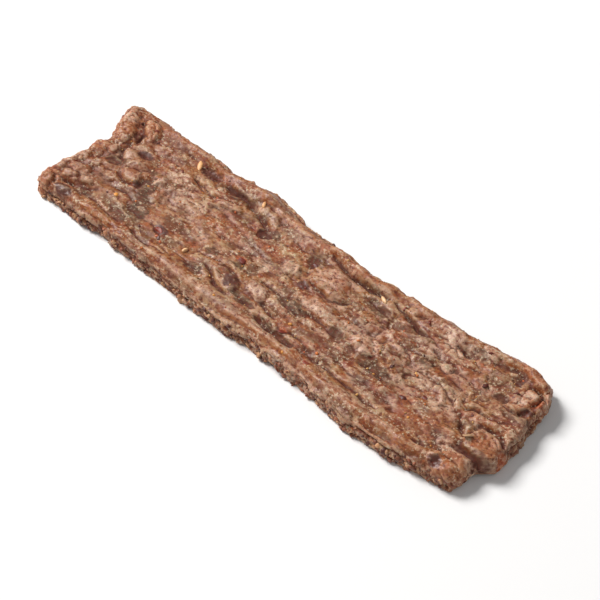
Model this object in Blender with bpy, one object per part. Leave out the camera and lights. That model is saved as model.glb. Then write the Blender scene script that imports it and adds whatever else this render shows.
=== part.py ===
"""A strip of beef jerky: one piece of minced meat, pressed flat, rolled up at its long edges, and dried.

Run it with blender --background --python part.py, or from Blender's text editor.
The strip lies flat, its length along X and its top up. The origin is under the middle of it, on the surface
that it rests on. Sizes below are in millimetres, and the finished mesh is in metres.
"""

from typing import NamedTuple

import bmesh
import bpy
import numpy as np
from mathutils import Matrix, Vector

MILLIMETRE = 0.001

# Driving dimensions.
LENGTH = 154.0
WIDTH = 40.0
THICKNESS = 5.6
SHOULDER_RADIUS = 3.2  # how far in from an edge the top starts to roll over
SHOULDER_DROP = 2.4
HEEL_RADIUS = 0.8  # the same, at the bottom edges
HEEL_LIFT = 0.8

# The mesh: how many cuts the block gets each way, and the share of triangles that is kept.
CUTS_ALONG = 209
CUTS_ACROSS = 57
CUTS_UP = 9
TRIANGLES_KEPT = 0.155

MEAT_COLOUR = (0.27, 0.125, 0.075, 1.0)
MEAT_ROUGHNESS = 0.5

# The plan outline, as (place along the strip, place across it). Both long edges wander, and the strip is
# broader at its +X half. The ends are given as (place across, place along).
NEAR_EDGE = ((-73, -19.8), (-63, -20.0), (-55, -19.3), (-45, -19.8), (-32, -20.5), (-18, -21.3),
             (-6, -21.4), (5, -21.0), (16, -21.1), (26, -21.8), (36, -22.8), (45, -23.7), (56, -23.2),
             (66, -22.0), (73, -20.8))
FAR_EDGE = ((-73, 21.4), (-66, 21.5), (-60, 20.6), (-50, 19.9), (-45, 20.3), (-38, 19.3), (-30, 20.7),
            (-23.5, 22.6), (-15, 20.8), (-8, 19.0), (3, 19.2), (10, 17.9), (20, 17.7), (24, 19.0),
            (35, 19.1), (48, 19.5), (60, 20.5), (67, 22.1), (73, 21.1))
LEFT_END = ((-20, -74.8), (-15, -76.0), (-12.3, -75.0), (-9.5, -75.6), (-5.8, -74.4), (-2, -73.4),
            (1.5, -74.0), (5, -72.4), (8, -73.8), (12, -75.6), (16.5, -77.1), (20, -76.6))
RIGHT_END = ((-20, 75.0), (-16, 75.8), (-12.6, 75.4), (-9, 79.6), (-6.5, 79.6), (-2.5, 78.6), (2, 78.6),
             (8, 77.2), (13, 76.6), (16.5, 75.2), (20, 72.8))

# The crests of the rolled rims, and how far they stand above the middle of the strip.
NEAR_CREST = ((-66, -17.6), (-45, -18.2), (-30, -17.6), (-15, -17.3), (0, -17.8), (15, -18.3),
              (30, -19.0), (45, -19.8), (56, -19.5), (66, -18.6))
FAR_CREST = ((-66, 18.2), (-45, 17.6), (-35, 17.4), (-24, 18.3), (-15, 16.3), (-6, 15.6), (6, 16.0),
             (18, 15.3), (28, 16.3), (40, 16.6), (52, 17.0), (62, 18.6), (70, 18.9))
NEAR_RIM_HEIGHT = 0.85
FAR_RIM_HEIGHT = 1.25
RIM_HALF_WIDTH = 1.8
RIM_WANDER = 0.6
RIM_FURROW_IN = 1.5  # how far inside the edge a furrow runs along the rolled rim
RIM_FURROW_DEPTH = 0.5
RIM_FURROW_HALF_WIDTH = 0.55


class Lump(NamedTuple):
    """A dome of meat, or with a negative height a pit. The steeper it is, the flatter its top."""

    x: float
    y: float
    along: float
    across: float
    height: float
    turn: float = 0.0  # degrees, anticlockwise from above
    steep: float = 1.0


class Crease(NamedTuple):
    """A fold line that sinks on the line and stands up on the side of it that lip points to."""

    x0: float
    y0: float
    x1: float
    y1: float
    bow: float  # how far its middle lies towards +Y
    depth: float
    half_width: float = 0.8
    lip: float = 0.3  # negative for a lip on the -Y side


class Chunks(NamedTuple):
    """A layer of mince: chunks of one size pressed together."""

    size: float
    stretch: float  # how much longer they are along X
    step: float  # between the levels of neighbours
    dome: float
    gap: float  # depth of the gaps, which only some seams have
    lean: float  # how much the top of a chunk leans


class Patch(NamedTuple):
    """An oval area of the meat, and how strongly it is stained or shaped."""

    x: float
    y: float
    along: float
    across: float
    strength: float = 1.0
    turn: float = 0.0


class Chip(NamedTuple):
    """A seed or a flake of spice that lies in the surface."""

    x: float
    y: float
    length: float
    width: float
    turn: float = 0.0


LUMPS = (
    # The knob at the far left corner: three lumps about a hollow.
    Lump(-71.0, 12.4, 7.6, 3.0, 1.1, -60, 1.4),
    Lump(-64.6, 14.9, 4.8, 2.6, 0.9, -38, 1.4),
    Lump(-67.6, 6.6, 2.6, 2.2, 0.6, 0, 1.3),
    Lump(-65.6, 10.6, 3.2, 1.3, -0.6, -50),
    # The row of small lumps along the left end, and a second row inside it.
    Lump(-70.8, 0.8, 2.8, 3.2, 0.8, 0, 1.4),
    Lump(-67.0, 2.6, 1.8, 1.4, 0.7, 0, 1.4),
    Lump(-71.4, -4.4, 2.4, 1.8, 0.78, 10, 1.4),
    Lump(-72.4, -8.2, 1.9, 1.6, 0.62, 0, 1.4),
    Lump(-73.0, -11.4, 1.9, 1.4, 0.62, 0, 1.4),
    Lump(-72.0, -14.0, 1.5, 1.1, 0.47, 0, 1.6),
    Lump(-72.0, -17.8, 4.6, 2.0, 1.01, -52, 1.5),
    Lump(-68.4, -12.8, 2.3, 1.6, 0.55, 10, 1.6),
    Lump(-67.8, -8.8, 3.4, 2.2, 0.7, 10, 1.4),
    Lump(-63.6, -10.6, 2.0, 1.5, 0.55, 0, 1.6),
    Lump(-66.8, -4.8, 2.4, 1.4, 0.47, 0, 1.6),
    Lump(-66.6, -17.2, 2.6, 1.7, 0.55, 10, 1.6),
    # The ring with a dent in it, and the lumps and pits behind it.
    Lump(-59.6, 5.2, 5.8, 4.8, 0.8, -15, 1.3),
    Lump(-58.6, 6.7, 2.6, 1.6, -0.5, 5),
    Lump(-63.6, -0.6, 3.0, 1.5, -0.62, 12),
    Lump(-56.0, -1.6, 3.7, 2.5, 0.6, -10, 1.4),
    Lump(-52.2, -2.8, 1.5, 1.1, -0.31),
    Lump(-50.4, 0.6, 2.4, 3.4, -0.39, -30),
    Lump(-48.4, 2.4, 1.8, 2.2, 0.78, -20, 1.5),
    Lump(-50.6, 11.8, 3.4, 2.0, 0.35, -10, 1.3),
    Lump(-56.6, 11.8, 3.6, 1.8, 0.25, -10, 1.3),
    Lump(-59.6, -5.2, 2.6, 1.8, 0.47, 0, 1.5),
    Lump(-46.6, -11.0, 3.6, 2.2, -0.39),
    # Dents along the inner side of the far rim.
    Lump(-40.4, 14.0, 4.2, 1.6, -0.8, -5),
    Lump(-31.0, 13.6, 3.4, 1.0, -0.6, 8),
    Lump(-14.2, 7.7, 2.6, 1.7, -0.9, -20),
    Lump(-23.6, 18.4, 5.0, 3.0, 0.7),
    Lump(-6.0, 13.8, 6.0, 2.6, 0.5, -6, 1.2),
    # Broad swells in the middle.
    Lump(-38.0, 3.0, 7.0, 3.6, 0.35, 0, 1.2),
    Lump(-37.0, -5.0, 6.0, 3.0, 0.3, 0, 1.2),
    Lump(-30.0, 9.6, 6.0, 2.2, 0.5, -8, 1.3),
    Lump(-27.0, 0.6, 5.0, 3.0, 0.5),
    Lump(-18.0, 13.0, 5.0, 2.4, 0.6, -20, 1.3),
    Lump(-1.0, 3.6, 3.4, 2.4, 0.7, -20, 1.5),
    Lump(2.0, 9.0, 1.9, 2.2, -0.6, 0),
    Lump(9.6, 7.6, 6.6, 4.4, 0.9, -8, 1.2),
    Lump(12.5, -1.4, 7.4, 3.2, 0.7, -4, 1.2),
    Lump(22.8, -4.8, 2.2, 1.8, -0.5),
    Lump(30.6, -2.6, 4.6, 3.8, 1.0, -20, 1.3),
    Lump(38.0, 0.4, 4.4, 2.8, 0.7, -10, 1.4),
    Lump(26.0, 4.0, 4.2, 2.4, 0.6, -8, 1.4),
    Lump(-2.0, -8.4, 4.0, 2.0, 0.8, -8, 1.6),
    Lump(8.0, -8.8, 6.0, 1.5, 0.5, -6, 1.3),
    Lump(-9.2, -10.8, 3.8, 2.0, 0.6, -32, 1.3),
    Lump(37.0, -6.8, 5.2, 2.4, -0.4, -8),
    Lump(45.6, -12.8, 2.6, 2.6, -0.5),
    Lump(10.0, -15.6, 8.0, 1.2, -0.8, -6),
    Lump(24.0, 8.6, 5.0, 2.4, -0.6, -6),
    Lump(50.4, 6.0, 2.2, 1.6, 0.6, -20, 1.8),
    Lump(45.0, 2.4, 3.6, 2.4, 0.6, 0, 1.4),
    Lump(58.0, -1.6, 4.6, 2.0, 0.6, -14, 1.3),
    Lump(46.0, 14.6, 2.8, 2.6, 0.6, -6, 1.2),
    Lump(51.6, 13.2, 2.2, 1.4, -0.8, -30),
    Lump(56.4, 15.2, 3.0, 2.6, 0.5, 20, 1.2),
    Lump(34.0, 15.2, 4.0, 2.2, 0.5, -6, 1.5),
    Lump(56.0, -8.0, 6.0, 2.6, 0.5, -10, 1.3),
    Lump(60.8, 12.4, 3.6, 2.6, 0.6, -6, 1.2),
    # The curled corner at the right end: outer lip, tucked flap, pit and the grey hollows beside it.
    Lump(69.6, 18.8, 5.4, 2.2, 1.2, -14, 1.4),
    Lump(76.2, 13.4, 1.8, 4.2, 1.2, 16, 1.6),
    Lump(71.8, 11.0, 3.2, 5.0, 0.5, -9, 3.0),
    Lump(66.6, 14.8, 2.2, 2.2, -0.8, 25),
    Lump(74.4, 15.0, 1.4, 0.8, -0.8, -15),
    Lump(74.6, 7.0, 1.6, 1.0, -0.8, 30),
    Lump(67.2, 8.0, 2.6, 1.5, -0.6, 10),
    Lump(71.4, 4.0, 2.8, 1.3, -0.5, -10),
    # The two big lumps of the right end, the notch between them and the flap above them.
    Lump(73.8, -7.2, 5.2, 4.8, 0.9, -14, 3.2),
    Lump(72.0, -17.8, 6.4, 5.0, 1.0, 16, 2.6),
    Lump(68.2, -19.2, 2.0, 1.6, -0.5),
    Lump(69.8, -0.8, 5.0, 1.5, 0.6, 16, 1.4),
    Lump(61.8, -17.6, 2.6, 1.2, -0.8, 12),
    Lump(65.4, -11.4, 3.6, 2.4, 0.6, -10, 1.4),
    Lump(77.4, -13.6, 3.0, 1.3, -1.6, -20),
)

CREASES = (
    # The groove inside the far rim.
    Crease(-35, 14.6, -25.4, 13.8, -0.3, 0.8, 0.9, 0.3),
    Crease(-26.4, 13.9, -13, 8.4, 0.5, 1.5, 1.2, 0.5),
    Crease(3, 14.4, 12, 12.6, 0.2, 1.2, 0.8, 0.45),
    Crease(11, 12.8, 25, 13.0, -0.4, 1.2, 0.8, 0.45),
    Crease(26.4, 13.4, 40, 9.8, 0.2, 0.9, 0.8, 0.3),
    Crease(47.6, 13.6, 54, 12.4, -0.6, 0.7, 0.8, 0.3),
    Crease(53.6, 13.6, 58.6, 10.8, -0.3, 0.4, 0.7, 0.2),
    Crease(59, 15.8, 68, 16.4, 0.5, 0.8, 0.9, 0.2),
    # The groove inside the near rim.
    Crease(-62, -14.8, -46, -15.8, 0.3, 0.4, 0.8, -0.2),
    Crease(-45, -14.2, -33, -16.6, -0.3, 0.5, 0.8, -0.3),
    Crease(-25, -13.6, -17, -14.6, 0.2, 0.6, 0.9, -0.2),
    Crease(-6, -12.6, 1.4, -14.2, 0.2, 0.8, 0.9, -0.2),
    Crease(3, -14.9, 18, -16.8, 0.2, 1.0, 1.2, -0.3),
    Crease(18, -15.4, 27, -15.2, -0.3, 0.6, 0.8, -0.2),
    Crease(29, -15.6, 46, -16.8, 0.3, 0.6, 0.8, -0.3),
    # Wrinkles in the middle.
    Crease(-44, 10.6, -35.6, 8.2, -0.3, 0.6, 0.7, 0.3),
    Crease(-36, 8.4, -27, 10.8, 0.2, 0.4, 0.7, 0.2),
    Crease(-42, 5.8, -20, 4.8, 0.3, 0.3, 0.7, 0.2),
    Crease(5, 3.8, 14.6, 2.6, -0.3, 0.7, 0.7, 0.4),
    Crease(14, 2.6, 19, 5.2, -0.2, 0.6, 0.7, 0.3),
    Crease(-4, -4.9, 6, -5.4, 0.3, 0.5, 0.7, -0.3),
    Crease(12, -4.6, 25, -6.6, 0.2, 0.5, 0.8, 0.3),
    Crease(-16, -7.6, -8, -8.4, 0.2, 0.5, 0.7, 0.3),
    Crease(-18, -10.2, -7, -15.0, -0.9, 0.8, 0.8, 0.5),
    Crease(0, -10.2, 8.6, -12.8, 0.2, 0.8, 0.7, 0.35),
    Crease(12, -12.4, 24, -14.8, 0.3, 0.6, 0.7, 0.3),
    Crease(-50, -9.6, -34, -11.2, 0.3, 0.5, 0.7, 0.25),
    Crease(-58, -6.8, -49, -7.6, 0.3, 0.5, 0.7, 0.3),
    Crease(27, 1.6, 35, -4.6, 0.8, 0.5, 0.8, 0.3),
    Crease(33, -8.4, 44, -8.0, 0.3, 0.5, 0.8, 0.3),
    Crease(50, 1.0, 60, -2.0, 0.2, 0.6, 0.7, 0.3),
    Crease(28, -11.6, 50, -13.0, -0.4, 0.4, 0.8, 0.2),
    Crease(44, 7.4, 62, 6.0, 0.3, 0.4, 0.8, 0.2),
    # Folds of the right end.
    Crease(64.6, -4.2, 68.4, -8.4, -0.4, 0.9, 0.9, 0.15),
    Crease(68.0, -6.4, 70.0, -2.4, 0.2, 0.8, 0.7, -0.2),
    Crease(69.6, -2.6, 74.0, -1.6, 0.4, 0.9, 0.7, 0.3),
    Crease(73.8, -1.4, 78.2, -5.4, 0.5, 0.9, 0.7, 0.3),
    Crease(62.4, -0.9, 71.0, 0.9, 0.3, 0.7, 0.7, -0.3),
    Crease(70.6, 0.8, 76.0, 4.0, 0.2, 0.6, 0.7, -0.3),
    Crease(69.0, -12.2, 79.0, -13.6, 0.8, 1.2, 1.0, -0.1),
    Crease(70.2, 16.0, 76.0, 14.4, 0.3, 1.2, 0.6, 0.3),
    Crease(74.4, 15.4, 74.8, 9.4, -0.4, 0.8, 0.6, 0.2),
    Crease(75.0, 9.4, 72.4, 6.4, 0.2, 1.0, 0.8, 0.2),
    # Folds of the left end.
    Crease(-72.4, -14.6, -69.0, -16.8, 0.2, 0.9, 0.7, 0.2),
    Crease(-69.4, -16.0, -63.6, -13.6, 0.2, 1.0, 0.8, 0.3),
    Crease(-64.0, -13.4, -58.4, -10.6, -0.2, 0.8, 0.8, 0.3),
    Crease(-68.8, 17.0, -64.4, 8.4, 0.5, 0.7, 0.7, 0.2),
    Crease(-69.4, 4.6, -65.0, 7.8, -0.4, 0.6, 0.7, 0.3),
    Crease(-65.6, 6.6, -60.6, 0.6, -1.2, 0.9, 0.7, -0.2),
    Crease(-59.4, -3.0, -52.6, -4.0, -0.5, 0.8, 0.7, 0.3),
    Crease(-52.8, 0.2, -51.4, -4.0, 0.4, 0.5, 0.7, 0.1),
)

# The spice that shows from a step away: seeds first, then flakes of chilli.
SPICE = (
    Chip(-45.4, 14.3, 4.0, 1.3, -58),
    Chip(-22.0, 15.0, 2.0, 1.2, 80),
    Chip(69.6, -8.1, 3.2, 1.5, 72),
    Chip(24.0, 11.8, 3.0, 1.1, -25),
    Chip(-25.8, -10.5, 1.8, 1.2, 10),
    Chip(-53.8, -9.0, 1.5, 1.3, 0),
    Chip(-39.6, 13.2, 3.6, 1.8, -10),
    Chip(-36.0, -10.5, 3.0, 1.7, -15),
    Chip(-12.0, -3.5, 3.0, 1.6, 20),
    Chip(2.5, 8.8, 2.3, 1.4, -10),
    Chip(12.0, -13.7, 2.6, 1.6, 15),
    Chip(24.0, -17.8, 2.2, 1.4, 0),
    Chip(49.0, -9.0, 2.3, 1.5, 30),
    Chip(53.0, -5.3, 2.1, 1.3, -40),
    Chip(61.5, 8.0, 2.1, 1.3, 60),
    Chip(68.8, 11.2, 1.9, 1.5, 0),
)
CHIP_THICKNESS = 1.2
CHIP_SUNK = 0.2  # how far the middle of a chip lies below the surface

# Relief that follows no single feature.
COARSE_MINCE = Chunks(6.6, 2.3, 0.30, 0.12, 0.14, 0.50)
MEDIUM_MINCE = Chunks(3.0, 1.9, 0.14, 0.04, 0.08, 0.30)
END_MINCE = Chunks(3.8, 1.5, 0.12, 0.07, 0.10, 0.24)
END_REACH = 24.0
SIDE_MINCE = Chunks(3.2, 2.0, 0.22, 0.18, 0.16, 0.20)
BENDS = ((3.2, 0.9), (1.2, 0.4))  # what makes the outlines of lumps uneven: waves of this size, this far
CREASE_WANDER = 0.55
LIP_REACH = 2.4  # where the lip of a crease is highest, in half widths of the crease
KNOBBLY_MINCE = Chunks(3.6, 1.45, 0.30, 0.09, 0.16, 0.60)  # only where the strip is knobbly
KNOBBLY_SPOTS = (
    Patch(44.0, 3.0, 26.0, 12.0, 1.0),
    Patch(8.0, 2.0, 16.0, 9.0, 0.5),
    Patch(-40.0, 2.0, 10.0, 7.0, 0.6),
    Patch(52.0, 15.0, 12.0, 3.0, 0.9),
    Patch(73.0, -7.0, 8.0, 6.0, 0.9),
    Patch(70.0, -17.6, 9.0, 5.0, 0.9),
)
SIDE_ROUGHNESS = 0.65
SIDE_CRUMB = 3.0
EDGE_WANDER = 0.6
EDGE_WANDER_SIZE = 7.0
LIFT_AT_ENDS = 0.4  # the ends don't quite touch the surface that the strip lies on
LIFT_REACH = 9.0
HOLLOW_DEPTH = 0.8  # hollows between the places where the underside rests
HOLLOW_SIZE = 11.0
FLAT_SPOT = (10.0, 7.0)  # half length and half width of the flat place under the middle
PRESSED_FLAT = 0.08  # what is lower than this is pressed flat by the surface that it lies on


def smooth_through(knots, where, spread=1.6):
    """The line through the knots at each place, with its corners rounded off."""
    places, values = np.array(knots, float).T
    offsets = np.linspace(-spread, spread, 7)
    return np.mean([np.interp(where + offset, places, values) for offset in offsets], axis=0)


def ease(value, low, high):
    """0 below low, 1 above high, and a smooth rise between them."""
    share = np.clip((value - low) / (high - low), 0.0, 1.0)
    return share * share * (3.0 - 2.0 * share)


def scattered(cells, seed):
    """A fixed pseudo-random number from 0 to 1 for each row of whole numbers."""
    x, y, z = (cells.astype(np.int64) & 0xFFFF).T
    mixed = (x * 73856093) ^ (y * 19349663) ^ (z * 83492791) ^ (seed * 2654435761)
    mixed = ((mixed ^ (mixed >> 13)) * 1274126177) & 0x7FFFFFFF
    mixed = ((mixed ^ (mixed >> 15)) * 668265263) & 0x7FFFFFFF
    return (mixed & 0xFFFFF) / float(0xFFFFF)


def rolling_noise(points, size, seed):
    """Smooth noise from -1 to 1 whose waves are about two sizes long."""
    scaled = points / size
    base = np.floor(scaled)
    part = scaled - base
    part = part * part * (3.0 - 2.0 * part)
    total = np.zeros(len(points))
    for corner in np.ndindex(2, 2, 2):
        weight = np.prod(np.where(corner, part, 1.0 - part), axis=1)
        total += weight * scattered(base + corner, seed)
    return 2.0 * total - 1.0


def mince_cells(points, size, seed):
    """Distances to the nearest two chunk centres, in chunk sizes, and the numbers from 0 to 1 that name them.

    The last result is how high the point lies on the nearest chunk's own slope.
    """
    scaled = points / size
    base = np.floor(scaled)
    nearest = np.full(len(points), 9.0)
    second = np.full(len(points), 9.0)
    name = np.zeros(len(points))
    other = np.zeros(len(points))
    lean = np.zeros(len(points))
    for step in np.ndindex(3, 3, 3):
        cell = base + np.array(step) - 1.0
        heart = cell + np.stack([scattered(cell, seed + axis) for axis in range(3)], axis=1)
        own = scattered(cell, seed + 7)
        way = scaled - heart
        distance = np.linalg.norm(way, axis=1)
        slope_x = 2.0 * ((17.3 * own) % 1.0) - 1.0
        slope_y = 2.0 * ((29.7 * own) % 1.0) - 1.0
        slope = slope_x * way[:, 0] + slope_y * way[:, 1]
        closer = distance < nearest
        between = ~closer & (distance < second)
        other = np.where(closer, name, np.where(between, own, other))
        second = np.where(closer, nearest, np.where(between, distance, second))
        name = np.where(closer, own, name)
        lean = np.where(closer, slope, lean)
        nearest = np.where(closer, distance, nearest)
    return nearest, second, name, other, lean


def mince(points, size, seed):
    """Minced meat: 1 on the crowns of the lumps, falling to 0 in the creases where they meet."""
    nearest, second, _, _, _ = mince_cells(points, size, seed)
    return np.clip((second - nearest) / 0.55, 0.0, 1.0) ** 0.6


def chunks(points, layer, seed):
    """Chunks pressed together: each at its own level, with a gap along some of the seams."""
    squeezed = points / (layer.stretch, 1.0, 1.0)
    bent = squeezed + 0.35 * layer.size * rolling_noise(squeezed, 0.8 * layer.size, seed + 40)[:, None]
    nearest, second, name, other, lean = mince_cells(bent, layer.size, seed)
    apart = second - nearest
    own_share = 0.5 + 0.5 * ease(apart, 0.0, 0.2)
    level = own_share * name + (1.0 - own_share) * other
    seam = ((name + other) * 7.31) % 1.0
    closed = np.exp(-((apart / 0.13) ** 2)) * ease(seam, 0.25, 0.75)
    crown = 1.0 - np.clip(nearest / 0.85, 0.0, 1.0) ** 2
    tops = layer.step * (2.0 * level - 1.0) + layer.lean * lean * ease(apart, 0.0, 0.25)
    return tops + layer.dome * (crown - 0.6) - layer.gap * closed


def oval(x, y, spot):
    """1 at the middle of a lump or patch, and 0 on its outline."""
    angle = np.radians(spot.turn)
    dx, dy = x - spot.x, y - spot.y
    along = (dx * np.cos(angle) + dy * np.sin(angle)) / spot.along
    across = (dy * np.cos(angle) - dx * np.sin(angle)) / spot.across
    return 1.0 - along**2 - across**2


def lump_relief(points):
    """The sum of the named domes and pits, with uneven outlines."""
    x, y = points[:, 0].copy(), points[:, 1].copy()
    for size, reach in BENDS:
        x += reach * rolling_noise(points, size, 35)
        y += reach * rolling_noise(points, size, 36)
    return sum(lump.height * np.clip(lump.steep * oval(x, y, lump), 0.0, 1.0) ** 0.8 for lump in LUMPS)


def along_line(run, name, size, seed):
    """Noise from -1 to 1 at each distance along a line. The name tells one line from the next."""
    places = np.arange(-2.0, 60.0, 0.2)
    line = np.column_stack([places, np.full(len(places), 7.0 * name), np.zeros(len(places))])
    return np.interp(run, places, rolling_noise(line, size, seed))


def beside_crease(x, y, crease):
    """How far each point lies beside a crease's wandering line, and how much of the crease is there."""
    along = np.array([crease.x1 - crease.x0, crease.y1 - crease.y0])
    length = np.hypot(*along)
    along /= length
    run = (x - crease.x0) * along[0] + (y - crease.y0) * along[1]
    share = np.clip(run / length, 0.0, 1.0)
    off = (y - crease.y0) * along[0] - (x - crease.x0) * along[1]
    off = off - crease.bow * 4.0 * share * (1.0 - share) - CREASE_WANDER * along_line(run, crease.x0, 2.8, 41)
    uneven = 0.85 + 0.35 * along_line(run, crease.x0, 2.2, 42)
    return off, uneven * ease(run, -1.0, 2.5) * ease(length - run, -1.0, 2.5)


def crease_relief(x, y, creases, lip_reach):
    """The sum of the named creases. A lip is highest lip_reach half widths beside its line."""
    total = np.zeros(len(x))
    for crease in creases:
        off, present = beside_crease(x, y, crease)
        valley = -crease.depth * np.exp(-((off / crease.half_width) ** 2))
        beside = off * np.sign(crease.lip) / (lip_reach * crease.half_width)
        lip = abs(crease.lip) * np.where(beside > 0.0, beside * np.exp(1.0 - beside), 0.0)
        total += present * (valley + lip)
    return total


def rim_relief(x, y):
    """The two rolled rims, whose crests wander and rise and fall."""
    line = np.column_stack([x, 4.0 * np.sign(y), np.zeros(len(x))])
    wander = RIM_WANDER * rolling_noise(line, 6.0, 44)
    uneven = 1.0 + 0.3 * rolling_noise(line, 4.5, 45)
    near = np.exp(-(((y - smooth_through(NEAR_CREST, x) - wander) / RIM_HALF_WIDTH) ** 2))
    far = np.exp(-(((y - smooth_through(FAR_CREST, x) - wander) / RIM_HALF_WIDTH) ** 2))
    present = uneven * ease(x, -70.0, -52.0) * ease(-x, -74.0, -60.0)
    return present * (NEAR_RIM_HEIGHT * near + FAR_RIM_HEIGHT * far)


def rim_furrows(points):
    """A broken furrow along the outer side of each rim."""
    x, y = points[:, 0], points[:, 1]
    way_in = RIM_FURROW_IN + 0.5 * rolling_noise(points / (1.0, 9.0, 9.0), 5.0, 37)
    near = np.exp(-(((y - smooth_through(NEAR_EDGE, x) - way_in) / RIM_FURROW_HALF_WIDTH) ** 2))
    far = np.exp(-(((smooth_through(FAR_EDGE, x) - y - way_in) / RIM_FURROW_HALF_WIDTH) ** 2))
    broken = ease(rolling_noise(points / (1.0, 9.0, 9.0), 9.0, 38), -0.6, 0.2)
    present = ease(x, -64.0, -54.0) * ease(-x, -64.0, -54.0)
    return -RIM_FURROW_DEPTH * present * broken * (near + far)


def near_ends(points):
    """0 in the middle of the strip, and 1 at its ends."""
    return ease(np.abs(points[:, 0]), LENGTH / 2 - END_REACH, LENGTH / 2 - 0.25 * END_REACH)


def knobbly(points):
    """How knobbly the top is at each point, from 0 to 1."""
    x, y = points[:, 0], points[:, 1]
    shares = [spot.strength * ease(oval(x, y, spot), -0.1, 0.6) for spot in KNOBBLY_SPOTS]
    return np.max(shares, axis=0)


def mince_relief(points):
    """Chunks of mince all over, round ones towards the ends, and knobbly ones here and there."""
    long = chunks(points, COARSE_MINCE, 3) + chunks(points, MEDIUM_MINCE, 13)
    short = near_ends(points) * chunks(points, END_MINCE, 43)
    return long + short + knobbly(points) * chunks(points, KNOBBLY_MINCE, 153)


def rounded_slab(block):
    """The block's surface points moved onto a slab with rolled shoulders, and its outward directions."""
    half = np.array([LENGTH / 2, WIDTH / 2])
    height = (block[:, 2] + 1.0) / 2.0
    radius = HEEL_RADIUS + (SHOULDER_RADIUS - HEEL_RADIUS) * height
    flat = block[:, :2] * half
    inner = np.clip(flat, radius[:, None] - half, half - radius[:, None])
    level = height * THICKNESS
    inner_level = np.clip(level, HEEL_LIFT, THICKNESS - SHOULDER_DROP)
    upright = np.where(level > THICKNESS / 2, SHOULDER_DROP, HEEL_LIFT)
    out = np.column_stack([(flat - inner) / radius[:, None], (level - inner_level) / upright])
    out /= np.linalg.norm(out, axis=1)[:, None]
    moved = inner + out[:, :2] * radius[:, None]
    return np.column_stack([moved, inner_level + out[:, 2] * upright]), out


def follow_outline(slab):
    """The slab's plan bent to the strip's wandering outline."""
    x, y = slab[:, 0], slab[:, 1]
    near, far = smooth_through(NEAR_EDGE, x), smooth_through(FAR_EDGE, x)
    left, right = smooth_through(LEFT_END, y, 0.8), smooth_through(RIGHT_END, y, 0.8)
    across = y / WIDTH + 0.5
    along = x / LENGTH + 0.5
    return np.column_stack([left + (right - left) * along, near + (far - near) * across, slab[:, 2]])


def underside(x, y):
    """How high the underside is above the surface it lies on: mostly 0, with hollows and lifted ends."""
    plan = np.column_stack([x / 1.6, y, np.zeros(len(x))])
    hollow = HOLLOW_DEPTH * ease(rolling_noise(plan, HOLLOW_SIZE, 77), 0.1, 0.6)
    hollow *= ease(np.hypot(x / FLAT_SPOT[0], y / FLAT_SPOT[1]), 1.0, 1.6)
    lifted = LIFT_AT_ENDS * ease(np.abs(x), LENGTH / 2 - LIFT_REACH, LENGTH / 2)
    return hollow + lifted


def shaped(block):
    """Where each point of the block's surface goes on the finished strip, in millimetres."""
    slab, out = rounded_slab(block)
    points = follow_outline(slab)
    x, y = points[:, 0].copy(), points[:, 1].copy()
    side = np.hypot(out[:, 0], out[:, 1])
    crumbly = SIDE_ROUGHNESS * (mince(points / (1.5, 1.0, 0.8), SIDE_CRUMB, 61) - 0.6)
    wander = EDGE_WANDER * rolling_noise(points / (1.0, 1.0, 4.0), EDGE_WANDER_SIZE, 62)
    beside = wander + crumbly + chunks(points, SIDE_MINCE, 63)
    points[:, :2] += out[:, :2] * (beside * side)[:, None]
    top = rim_relief(x, y) + rim_furrows(points) + lump_relief(points) + mince_relief(points)
    top += crease_relief(x, y, CREASES, LIP_REACH)
    height = points[:, 2] / THICKNESS
    points[:, 2] += top * ease(height, 0.35, 0.95)
    points[:, 2] += underside(x, y) * ease(-height, -0.6, 0.0)
    return points


def sliced_block():
    """A cube from -1 to 1 whose faces are cut into an even grid."""
    mesh = bmesh.new()
    bmesh.ops.create_cube(mesh, size=2.0)
    for axis, cuts in enumerate((CUTS_ALONG, CUTS_ACROSS, CUTS_UP)):
        edges = [e for e in mesh.edges if abs(e.verts[0].co[axis] - e.verts[1].co[axis]) > 1e-6]
        bmesh.ops.subdivide_edges(mesh, edges=edges, cuts=cuts, use_grid_fill=True)
    bmesh.ops.triangulate(mesh, faces=mesh.faces)
    return mesh


def meat_material():
    """Dried, pressed beef: reddish brown, with a faint gloss."""
    material = bpy.data.materials.new("dried_beef")
    material.use_nodes = True
    shader = material.node_tree.nodes["Principled BSDF"]
    shader.inputs["Base Color"].default_value = MEAT_COLOUR
    shader.inputs["Roughness"].default_value = MEAT_ROUGHNESS
    shader.inputs["Metallic"].default_value = 0.0
    return material


def apply_modifiers(thing):
    """Swaps the object's mesh for the one that its modifiers make."""
    bpy.context.view_layer.update()
    plain = thing.data
    graph = bpy.context.evaluated_depsgraph_get()
    thing.data = bpy.data.meshes.new_from_object(thing.evaluated_get(graph))
    thing.data.name = thing.name
    thing.modifiers.clear()
    bpy.data.meshes.remove(plain)


def make_meat(collection):
    """The strip without its spice, as one closed mesh where the outline puts it, resting at height 0."""
    grid = sliced_block()
    mesh = bpy.data.meshes.new("meat")
    grid.to_mesh(mesh)
    grid.free()
    block = np.empty(len(mesh.vertices) * 3)
    mesh.vertices.foreach_get("co", block)
    points = shaped(block.reshape(-1, 3))
    mesh.vertices.foreach_set("co", (points * MILLIMETRE).ravel())
    mesh.update()
    strip = bpy.data.objects.new("jerky_strip", mesh)
    collection.objects.link(strip)
    mesh.materials.append(meat_material())
    thin = strip.modifiers.new("fewer_triangles", "DECIMATE")
    thin.decimate_type = "COLLAPSE"
    thin.ratio = TRIANGLES_KEPT
    thin.use_collapse_triangulate = True
    apply_modifiers(strip)
    for vertex in strip.data.vertices:
        if vertex.co.z < PRESSED_FLAT * MILLIMETRE:
            vertex.co.z = 0.0
    return strip


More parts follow.
